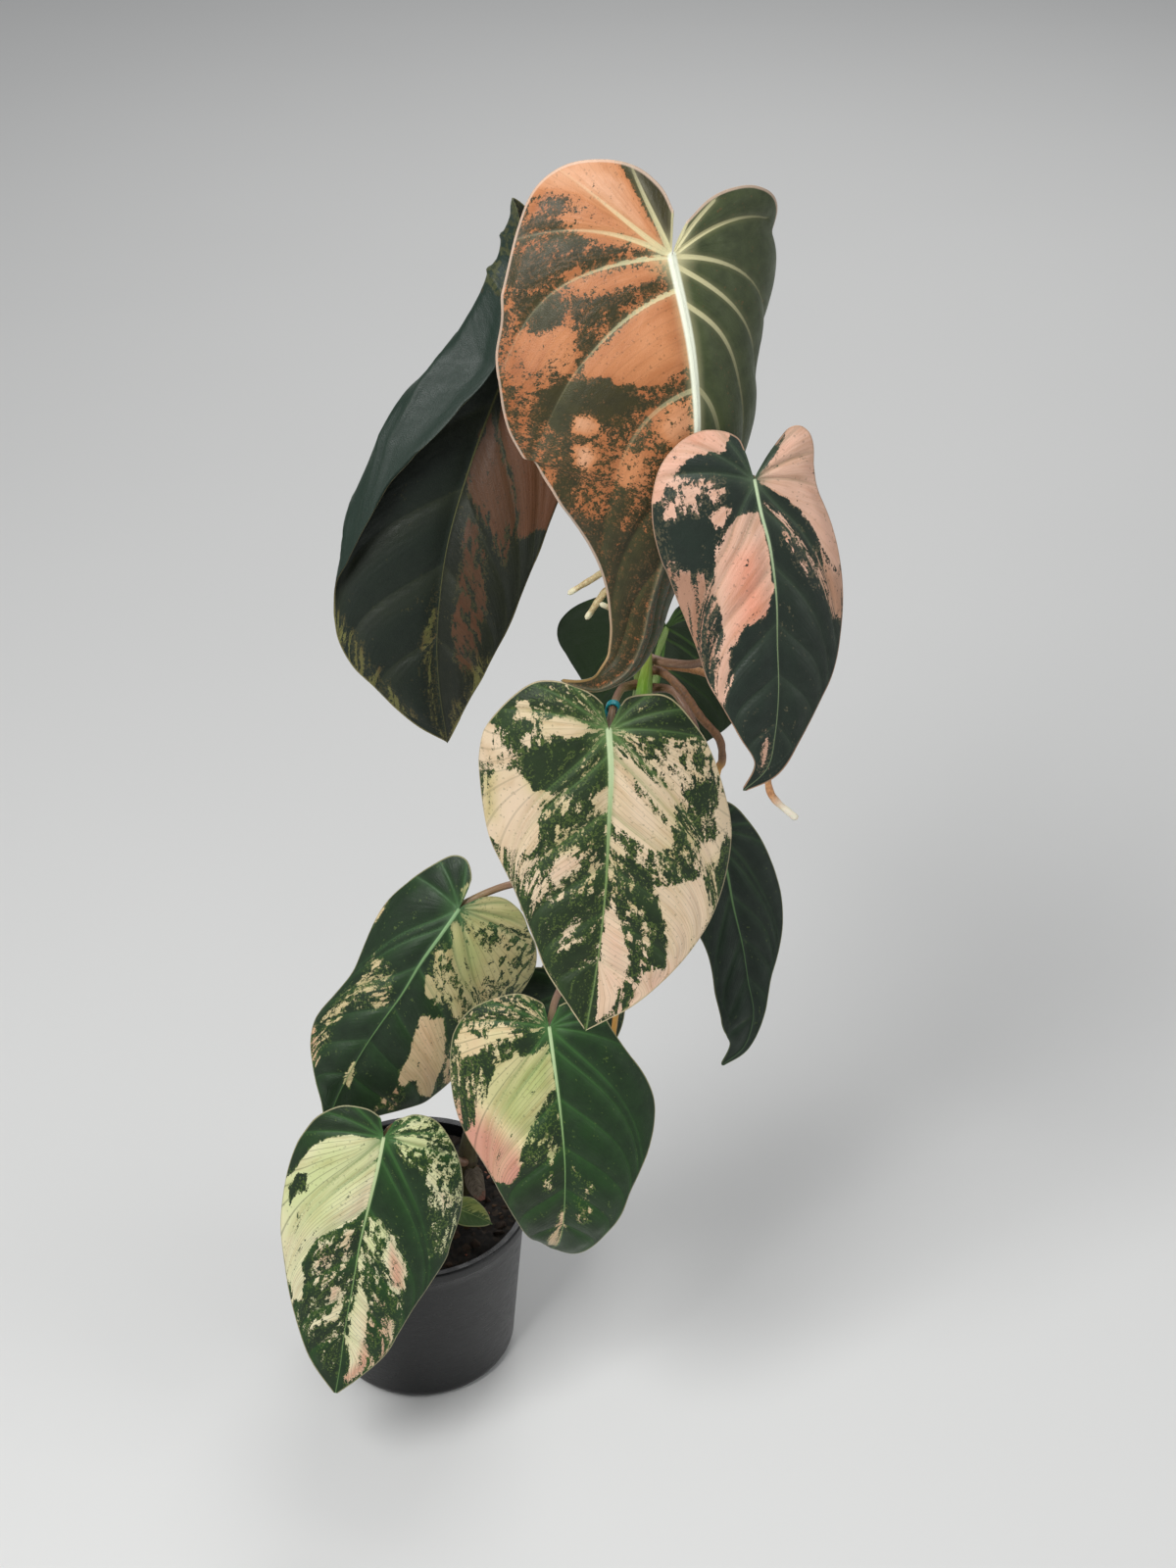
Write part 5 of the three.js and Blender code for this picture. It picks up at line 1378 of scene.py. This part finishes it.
brown_stalk = stalk_finish("petiole_brown", (146, 124, 82), (138, 104, 86), (118, 88, 66), (182, 144, 124))
pale_stalk = stalk_finish("petiole_green", (140, 168, 92), (132, 160, 84), (112, 134, 66), (176, 196, 128))
PALE = ("petiole_i", "petiole_j", "petiole_small")
petiole_routes = {}
for name, (carried, foot, foot_radius, head_radius, points) in PETIOLES.items():
    path = petiole_path(carried, foot, head_radius, points)
    petiole_routes[name] = path
    rings = int(path.length / 0.9)
    piece = sweep(name + "_fine", path, petiole_radius(path, foot_radius, head_radius), 36, rings)
    pale = name in PALE
    install(piece, name, pale_stalk if pale else brown_stalk)
    print(name, round(path.length), "mm")

# %% [markdown]
# ## Aerial roots
#
# At its nodes the stem sends out roots that grip bark or wander in the air. Young ones are cream,
# blunt and slightly waxy; old ones turn brown and hard, with a pale growing tip. They are never
# quite round or straight, so their radius wavers slowly along the length. Each row says how high
# on the stem a root starts, its two radii, its age and the places it passes.

# %% Roots
ROOTS = {
    "root_upper_long": (472, 1.5, 1.3, "young", threes(98,9,473, 91,6,470, 81,4,464)),
    "root_upper_middle": (463, 1.7, 1.4, "young", threes(99,10,463, 95,8,459, 89,4,451)),
    "root_upper_short": (455, 1.6, 1.3, "young", threes(105,6,456, 101,2,458, 95,1,461)),
    "root_long": (417, 2, 1.7, "old", threes(
        123,10,420, 133,-3,417, 140,-8,408, 149,-10,397, 151,-8,384, 149,-5,374, 147,0,346)),
    "root_right": (414, 1.8, 1.6, "orange", threes(
        124,22,415, 140,12,419, 154,0,419, 164,-20,413, 169,-35,405, 169,-40,398, 172,-42,387,
        183,-46,378)),
    "root_middle": (275, 1.6, 1.2, "young", threes(77,15,277, 70,11,281, 61,4,287, 58,2,293)),
    "root_low": (350, 1.7, 1.4, "old", threes(
        112,14,345, 112,9,325, 108,4,300, 105,-5,263, 103,-12,229, 99,-16,206)),
}


def root_radius(path, foot, head, seed):
    def radius(t, turn):
        along, back = t * path.length, (1 - t) * path.length
        waver = 0.09 * math.sin(along * 0.42 + seed) + 0.06 * math.sin(along * 0.97 + 2 * seed)
        lumps = 0.05 * np.sin(3 * turn + along * 0.35) + 0.03 * np.sin(5 * turn - along * 0.8)
        tip = math.sqrt(max(1 - (1 - min(back / 2.2, 1)) ** 2, 0.0004))
        return (lerp(foot, head, t) + waver + lumps) * tip

    return radius


def root_finish(name, body, shade, tip, tip_share):
    b = Bench(name, roughness=0.55, Subsurface_Weight=0.08, Subsurface_Scale=0.001)
    unrolled = b.node("CombineXYZ", 0, {0: b.times(b.number("turn"), 1.6), 1: b.number("run")})
    grain = b.cloud(unrolled, 0.7, 4.0, 0.6)
    skin = b.mix(b.between(grain, 0.35, 0.7), body, shade)
    scurf = b.cells(b.spot(), 1.1, "Distance")
    skin = b.mix(b.between(scurf, 0.15, 0.4, 0.4, 0.0), skin, (120, 96, 66))
    skin = b.mix(b.between(b.number("share"), tip_share, tip_share + 0.1), skin, tip)
    return b.finish(skin, b.bump(grain, 0.35, 0.7, b.bump(scurf, 0.2, 0.5)))


root_skins = {
    "young": root_finish("root_cream", (206, 188, 142), (176, 150, 104), (226, 218, 184), 0.8),
    "orange": root_finish("root_orange", (206, 152, 104), (172, 118, 78), (240, 232, 210), 0.86),
    "old": root_finish("root_brown_skin", (132, 92, 60), (98, 70, 48), (206, 154, 78), 0.6),
}
for seed, (name, (height, foot, head, age, points)) in enumerate(ROOTS.items()):
    path = Path([on_axis(height), *points])
    rings = int(path.length / 0.7)
    piece = sweep(name + "_fine", path, root_radius(path, foot, head, 1 + seed), 28, rings)
    install(piece, name, root_skins[age])
    print(name, round(path.length), "mm")

# %% [markdown]
# ## The shoot
#
# Each new leaf comes out of a pointed green sheath with two keels. One is seen behind the middle
# leaf, bright as a pea. It is one more sweep, whose radius shrinks to a point.

# %% Shoot
shoot_path = Path([on_axis(401), *threes(115,7,407, 116,4,421, 118,3,439)])
SHOOT_RADIUS = 4.1
KEELS = (0.5, 2.3)  # directions round the shoot, in radians


def shoot_radius(t, turn):
    size = SHOOT_RADIUS * max(1 - 0.965 * t**2.2, 0.03)
    keels = sum(bell(round_from(turn, angle), 0.22) for angle in KEELS)
    return size * (1 + 0.1 * keels + 0.015 * np.sin(15 * turn))


def shoot_finish():
    b = Bench("shoot_skin", roughness=0.38, Subsurface_Weight=0.1, Subsurface_Scale=0.002)
    grain = b.cloud(b.unrolled(b.number("turn"), 3.0, b.number("run"), 0.08), 1.5, 4.0)
    skin = b.ramp(b.number("share"), [(0.0, (84, 116, 38)), (0.5, (108, 148, 42)), (1, (140, 140, 72))])
    skin = b.mix(b.between(grain, 0.45, 0.75, 0.0, 0.5), skin, (176, 204, 104))
    return b.finish(skin, b.bump(grain, 0.25, 0.6))


shoot = sweep("shoot_sheath_fine", shoot_path, shoot_radius, 48, 90)
install(shoot, "shoot_sheath", shoot_finish())
print("shoot is", round(shoot_path.length), "mm long")

# %% [markdown]
# ## The dry sheath
#
# At the foot of the stem an old sheath has dried to grey paper. It is a small blade like the
# others, so the same functions make it, with a paper finish instead of velvet.

# %% Dry sheath
sheath_fold = [(-5, 0, -40), (20, 10, -30)]
leaf("dry_sheath", width=6, nape=5, face=(0.1, -1, 0.4),
    rib=threes(30,4.9,116, 31,4.1,111, 32.5,1,106, 35,-3.4,102),
    left=pairs(2.5,-0.5, 4.5,1, 6,5, 6,9, 4,14, 1,18),
    right=pairs(2.5,-0.5, 4,2, 4.5,5, 4,10, 3,14, 1,18),
    fold=dict(left=sheath_fold, right=sheath_fold))


def dry_finish():
    b = Bench("dry_paper", roughness=0.85)
    grain = b.cloud(b.unrolled(b.number("vein_index"), 3.0, b.number("vein_run"), 0.2), 1.5, 5.0)
    skin = b.mix(b.between(grain, 0.35, 0.7), (122, 110, 94), (72, 62, 52))
    towards_tip = b.sum("ADD", b.number("leaf_share"), b.cloud(b.place("flat_place"), 0.4))
    skin = b.mix(b.between(towards_tip, 1.25, 1.5, 0.0, 0.6), skin, (134, 76, 62))
    return b.finish(skin, b.bump(grain, 0.4, 0.9))


dry = make_blade("dry_sheath", 0.3)
install(dry, "dry_sheath", dry_finish())

# %% [markdown]
# ## The clip
#
# A small teal plastic ring holds the petiole of the middle leaf. It is turned from a profile with
# rounded corners, and its short tail hangs from it.


# %% Clip
def circle_at(radius, height, turns):
    return [(radius * math.cos(a), radius * math.sin(a), height) for a in turns]


def lathe(name, profile, sides, closed_ring=False):
    """A body turned about Z from a profile of (radius, height) in mm."""
    turns = np.linspace(0, 2 * np.pi, sides, endpoint=False)
    vertices = [place for r, z in profile for place in circle_at(r, z, turns)]
    return tidy_mesh(make_mesh(name, vertices, band_faces(len(profile), sides, closed_ring)))


def rounded(corners, radius, steps=4):
    """A closed profile with its corners rounded."""
    corners = np.array(corners, float)
    points = []
    for before, here, after in zip(np.roll(corners, 1, 0), corners, np.roll(corners, -1, 0)):
        a, c = here + unit(before - here) * radius, here + unit(after - here) * radius
        for t in np.linspace(0, 1, steps):
            points.append(tuple((1 - t) ** 2 * a + 2 * t * (1 - t) * here + t**2 * c))
    return points


def join(pieces, name):
    """Several mesh objects as one piece."""
    work = bmesh.new()
    for piece in pieces:
        work.from_mesh(piece.data)
        bpy.data.objects.remove(piece)
    mesh = bpy.data.meshes.new(name)
    work.to_mesh(mesh)
    work.free()
    whole = bpy.data.objects.new(name, mesh)
    bpy.context.scene.collection.objects.link(whole)
    return whole


def clip_finish():
    b = Bench("teal_plastic", roughness=0.35)
    spot = b.spot()
    skin = b.mix(b.between(b.cloud(spot, 0.6, 3.0), 0.35, 0.7), (24, 148, 156), (16, 118, 130))
    return b.finish(skin, b.bump(b.cloud(spot, 3.0), 0.05, 0.4))


CLIP_SHARE = 0.72  # of the petiole, from its foot
ring = lathe("clip_ring", rounded([(2.4, -1.8), (3.2, -1.8), (3.2, 1.8), (2.4, 1.8)], 0.3), 64, True)
tail = lathe("clip_tail", rounded([(0.01, -2.5), (1, -2.5), (1, 2.5), (0.01, 2.5)], 0.009), 32, True)
tail.data.transform(Matrix.Diagonal((1.5, 0.6, 1, 1)))
tail.data.transform(Matrix.Translation((0, 0, -4.5 * MM)))
ring.data.transform(Matrix.Rotation(math.radians(-90), 4, "X"))
clip = join([ring, tail], "clip_fine")
grip = petiole_routes["petiole_d"]
clip_place, heading = grip.at(CLIP_SHARE * grip.length), Vector(grip.tangent(CLIP_SHARE * grip.length))
turned = Vector((0, 1, 0)).rotation_difference(heading).to_matrix().to_4x4()
clip.data.transform(Matrix.Translation(Vector(clip_place) * MM) @ turned)
clip.data.polygons.foreach_set("use_smooth", [True] * len(clip.data.polygons))
install(clip, "clip", clip_finish())
print("clip at", [round(c) for c in clip_place])

# %% [markdown]
# ## The nursery pot
#
# The pot is the plain black kind that growers use: thin plastic, a slightly wider band round the
# mouth, a tapered wall and a rounded foot with drain holes. It is turned from a profile, as a
# potter would. The holes are cut with a boolean, because they break through two surfaces at once.

# %% Pot
POT_HEIGHT, RIM_RADIUS, BASE_RADIUS = 103, 60, 49
LIP_DEPTH, LIP_OUT = 7, 2.6
WALL, BASE_THICK, EDGE_RADIUS = 1.5, 2, 7
DRAIN_HOLES, HOLE_RADIUS, HOLE_RING = 8, 4.5, 31


def wall_radius(z):
    """The outside of the wall at a height."""
    return lerp(BASE_RADIUS, RIM_RADIUS - LIP_OUT, z / POT_HEIGHT)


def pot_profile():
    """The section of the pot, from the middle of its base outside to the middle inside."""
    points = [(0.01, 0), (20, 0), (36, 0)]
    foot = wall_radius(EDGE_RADIUS)
    for a in (math.pi / 2 * k / 12 for k in range(13)):
        points.append((foot - EDGE_RADIUS * (1 - math.sin(a)), EDGE_RADIUS * (1 - math.cos(a))))
    lip, rim, top = POT_HEIGHT - LIP_DEPTH, RIM_RADIUS, POT_HEIGHT
    points += [(wall_radius(z), z) for z in np.linspace(EDGE_RADIUS + 4, lip - 0.6, 12)]
    points += [(wall_radius(lip) + 0.3, lip - 0.1), (rim - 0.5, lip + 0.5), (rim - 0.1, lip + 1.1)]
    points += [(rim, lip + 2), (rim, top - 2), (rim, top - 1)]
    points += [(rim - 0.15, top - 0.5), (rim - 0.6, top - 0.08), (rim - 1.2, top)]
    inner = wall_radius(top) - WALL
    points += [(inner + 0.5, top), (inner + 0.1, top - 0.25), (inner, top - 0.8)]
    points += [(wall_radius(z) - WALL, z) for z in np.linspace(top - 4, EDGE_RADIUS + 2, 12)]
    for a in (math.pi / 2 * k / 6 for k in range(7)):
        radius = foot - WALL - (EDGE_RADIUS - WALL) * (1 - math.cos(a))
        points.append((radius, EDGE_RADIUS - (EDGE_RADIUS - BASE_THICK) * math.sin(a)))
    return points + [(36, BASE_THICK), (20, BASE_THICK), (0.01, BASE_THICK)]


def drill(pot):
    """Cuts the ring of drain holes through the base."""
    cutters = []
    for k in range(DRAIN_HOLES):
        a = 2 * math.pi * (k + 0.5) / DRAIN_HOLES
        cutters.append(lathe("drill", [(0.01, -4), (HOLE_RADIUS, -4), (HOLE_RADIUS, 5), (0.01, 5)], 40))
        place = (HOLE_RING * math.cos(a) * MM, HOLE_RING * math.sin(a) * MM, 0)
        cutters[-1].data.transform(Matrix.Translation(place))
    cutter = join(cutters, "drill_ring")
    cut = pot.modifiers.new("drain", "BOOLEAN")
    cut.object = cutter
    cut.solver = "EXACT"
    bpy.context.view_layer.update()
    drilled = bpy.data.meshes.new_from_object(pot.evaluated_get(bpy.context.evaluated_depsgraph_get()))
    pot.modifiers.clear()
    pot.data = drilled
    bpy.data.objects.remove(cutter)
    for polygon in pot.data.polygons:
        polygon.use_smooth = abs(polygon.normal.z) < 0.999


def pot_finish():
    b = Bench("black_nursery_plastic", roughness=0.4, IOR=1.48)
    spot = b.spot()
    dust = b.cloud(spot, 0.05, 5.0, 0.6)
    skin = b.mix(b.between(dust, 0.45, 0.75, 0.0, 0.5), (8, 9, 11), (19, 20, 22))
    splash = b.cells(b.shift(spot, b.wobble(spot, 0.4, 2.0, (3, 3, 3))), 0.16, "Distance")
    skin = b.mix(b.between(splash, 0.05, 0.14, 0.25, 0.0), skin, (66, 60, 52))
    grain = b.cloud(spot, 1.3, 4.0, 0.6)
    scuffs = b.cloud(b.stretch(spot, (0.4, 0.4, 2.2)), 0.35, 5.0, 0.7)
    normal = b.bump(grain, 0.12, 0.5, b.bump(scuffs, 0.12, 0.5))
    return b.finish(skin, normal, b.between(scuffs, 0.35, 0.7, 0.26, 0.42))


pot = lathe("pot_fine", pot_profile(), 180)
drill(pot)
install(pot, "pot", pot_finish())
print("pot has", len(pot.data.polygons), "faces and", DRAIN_HOLES, "drain holes")

# %% [markdown]
# ## The potting mix
#
# The mix is a chunky one: dark fibre with bits of bark and reddish pumice. Its top is uneven at
# two sizes, a few broad humps and many crumbs. The crumbs that catch the light are made as small
# stones with flat, broken faces, half sunk in the mix; the rest is displaced in the surface itself.

# %% Potting mix
SOIL_LEVEL = 96
SOIL_RISE = 1.6
CRUMBS = 2600
TALLEST_CRUMB = 2.1


def soil_height(x, y):
    """The broad humps of the mix, as in the CAD solid."""
    rim = wall_radius(SOIL_LEVEL) - WALL - 0.3
    inward = 1 - np.hypot(x, y) / rim
    wave = np.sin(x * 0.13 + 1) * np.cos(y * 0.11) + 0.5 * np.sin(x * 0.31 - y * 0.27)
    return SOIL_LEVEL + SOIL_RISE * np.minimum(1, 4 * np.maximum(inward, 0)) * wave


def anywhere(draw, reach):
    """A random place on the mix, no further out than reach."""
    angle, out = draw.uniform(0, 2 * np.pi), reach * math.sqrt(draw.uniform(0, 1))
    return out * math.cos(angle), out * math.sin(angle)


def crumbs(x, y, draw):
    """The small lumps of the mix: many rounded bumps, the higher one wins."""
    height = np.zeros_like(x)
    for _ in range(CRUMBS):
        radius = draw.uniform(0.8, 3.4)
        cx, cy = anywhere(draw, 56)
        near = (np.abs(x - cx) < radius) & (np.abs(y - cy) < radius)
        square = ((x[near] - cx) ** 2 + (y[near] - cy) ** 2) / radius**2
        tall = min(radius * 0.7, TALLEST_CRUMB) * draw.uniform(0.4, 1)
        height[near] = np.maximum(height[near], np.sqrt(np.clip(1 - square, 0, 1)) * tall)
    return height


def make_mix(sides=300, rings=88):
    """A plug that fills the pot, with a clearance of 0.15 mm, and its uneven top."""
    rim = wall_radius(SOIL_LEVEL) - WALL - 0.15
    radii = rim * np.linspace(1, 0.004, rings + 1)
    turns = np.linspace(0, 2 * np.pi, sides, endpoint=False)
    x, y = radii[:, None] * np.cos(turns), radii[:, None] * np.sin(turns)
    lumps = crumbs(x, y, np.random.default_rng(7)) * smooth((1.002 - radii / rim) * 40)[:, None]
    floor = BASE_THICK + 0.1
    outline = [(0.2, floor), (wall_radius(7) - 8.2, floor), (wall_radius(7) - 1.8, 8.5)]
    outline += [(wall_radius(h) - WALL - 0.15, h) for h in (20, 40, 60, 80, 92)]
    vertices = [place for r, h in outline for place in circle_at(r, h, turns)]
    vertices += np.stack([x, y, soil_height(x, y) - 0.9 + lumps], -1).reshape(-1, 3).tolist()
    rows = len(outline) + rings + 1
    faces = [list(range(sides))[::-1], [(rows - 1) * sides + k for k in range(sides)]]
    return tidy_mesh(make_mesh("potting_mix_fine", vertices, faces + band_faces(rows, sides)))


def mix_finish():
    b = Bench("potting_mix_dark", roughness=0.92)
    spot = b.spot()
    warped = b.shift(spot, b.wobble(spot, 0.5, 2.0, (2, 2, 2)))
    tones = (0.0, (15, 13, 11)), (0.45, (28, 23, 18)), (0.75, (42, 34, 27)), (0.97, (68, 55, 43))
    skin = b.ramp(b.cells(warped, 0.42), tones)
    fibre = b.cloud(b.stretch(warped, (0.5, 1.5, 1)), 1.1, 5.0, 0.7)
    skin = b.mix(b.between(fibre, 0.55, 0.8, 0.0, 0.45), skin, (78, 64, 48))
    return b.finish(skin, b.bump(fibre, 0.6, 0.8, b.bump(b.cloud(spot, 2.6, 4.0), 0.3, 0.7)))


mix = make_mix()
install(mix, "potting_mix", mix_finish())
print("potting mix has", len(mix.data.polygons), "faces")

# %% [markdown]
# The loose bits lie on the mix: reddish pumice and dark bark. Each is a small ball of faces cut
# flat from several sides by random draws with a fixed seed, so that the same pot comes out every
# time.

# %% Loose bits
STEM_FOOT, SMALL_FOOT = (24, 11), (14, -11)  # where the stem and the small leaf's petiole stand


def stone(draw, size):
    """One broken lump about size mm across, around the origin."""
    work = bmesh.new()
    bmesh.ops.create_icosphere(work, subdivisions=2, radius=0.5)
    squash = np.array([1, draw.uniform(0.6, 1), draw.uniform(0.45, 0.8)])
    cuts = [(unit(draw.normal(size=3)), draw.uniform(0.26, 0.42)) for _ in range(9)]
    points = np.array([v.co for v in work.verts])
    for direction, depth in cuts:
        over = np.maximum(points @ direction - depth, 0)
        points = points - over[:, None] * direction
    points = points * (1 + draw.normal(0, 0.035, (len(points), 1)))
    turn = np.array(Matrix.Rotation(draw.uniform(0, 6.28), 3, Vector(draw.normal(size=3))))
    faces = [[v.index for v in face.verts] for face in work.faces]
    work.free()
    return (points * squash * size) @ turn.T, faces


def scatter(name, count, sizes, seed):
    """Stones half sunk in the mix, clear of the pot's wall and of the stem."""
    draw = np.random.default_rng(seed)
    stones, faces, tint = [], [], []
    while len(stones) < count:
        place = anywhere(draw, 51)
        size = draw.uniform(*sizes)
        if math.dist(place, STEM_FOOT) < 8 + size or math.dist(place, SMALL_FOOT) < 3 + size:
            continue
        points, triangles = stone(draw, size)
        start = sum(len(s) for s in stones)
        lift = float(soil_height(*np.array(place))) - 0.4 + 0.12 * size
        stones.append(points + (*place, lift))
        faces += [[v + start for v in face] for face in triangles]
        tint += [draw.uniform(0, 1)] * len(points)
    piece = make_mesh(name, np.vstack(stones), faces, {"tint": tint})
    piece.data.polygons.foreach_set("use_smooth", [False] * len(piece.data.polygons))
    return piece


def stone_finish(name, tones):
    b = Bench(name, roughness=0.9)
    skin = b.ramp(b.number("tint"), tones)
    pits = b.cells(b.spot(), 2.2, "Distance")
    skin = b.mix(b.between(pits, 0.1, 0.4, 0.55, 0.0), skin, (58, 44, 36))
    return b.finish(skin, b.bump(pits, 0.3, 0.8))


pumice = scatter("pumice_bits", 46, (1.6, 4.2), 11)
pumice_tones = [(0, (150, 84, 62)), (0.5, (176, 112, 88)), (1, (196, 150, 128))]
pumice.data.materials.append(stone_finish("pumice", pumice_tones))
bark = scatter("bark_bits", 150, (2.4, 7.5), 12)
bark.data.materials.append(stone_finish("bark", [(0, (38, 28, 20)), (0.6, (64, 46, 32)), (1, (92, 68, 46))]))
for piece in (pumice, bark):
    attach(piece, "root")
print("loose bits:", len(pumice.data.vertices) + len(bark.data.vertices), "points")

# %% [markdown]
# ## The floor
#
# The floor is no part of the plant. It is there to catch the shadow, so it is plain and pale.

# %% Floor
FLOOR_HALF = 4000  # mm
corners = [(x * FLOOR_HALF, y * FLOOR_HALF, 0) for y in (-1, 1) for x in (-1, 1)]
floor = make_mesh("floor", corners, [[0, 1, 3, 2]])
b = Bench("floor_pale", roughness=0.8)
patches = b.cloud(b.node("TexCoord", "Object"), 1.5, 3.0)
floor.data.materials.append(b.finish(b.mix(patches, (222, 222, 220), (228, 228, 226))))
print("floor is", round(floor.dimensions.x), "m wide")

# %% [markdown]
# ## Light
#
# The light is that of a small studio: one large panel above and in front, as in the photograph,
# where the upper leaves are brightest, a weak one from the right, one behind that keeps the floor
# pale, and a pale surrounding that fills the shadows.


# %% Light
def panel(name, place, target, size, watts):
    """A square soft light that looks at a point."""
    data = bpy.data.lights.new(name, "AREA")
    data.size = size
    data.energy = watts
    lamp = bpy.data.objects.new(name, data)
    lamp.location = place
    lamp.rotation_euler = (Vector(target) - Vector(place)).to_track_quat("-Z", "Y").to_euler()
    bpy.context.scene.collection.objects.link(lamp)
    print(name, "at", place)


panel("panel_above", (-0.55, -0.75, 1.5), (0.07, -0.02, 0.4), size=0.7, watts=20)
panel("panel_right", (1.3, -0.5, 1.0), (0.05, 0, 0.3), size=0.9, watts=5)
panel("panel_behind", (0.4, 1.7, 1.7), (0, 0.5, 0), size=1.2, watts=14)
world = bpy.data.worlds.new("studio")
world.use_nodes = True
sky = world.node_tree.nodes["Background"].inputs
sky["Color"].default_value = (0.8, 0.82, 0.86, 1)
sky["Strength"].default_value = 0.26
bpy.context.scene.world = world
bpy.context.scene.view_settings.view_transform = "Standard"
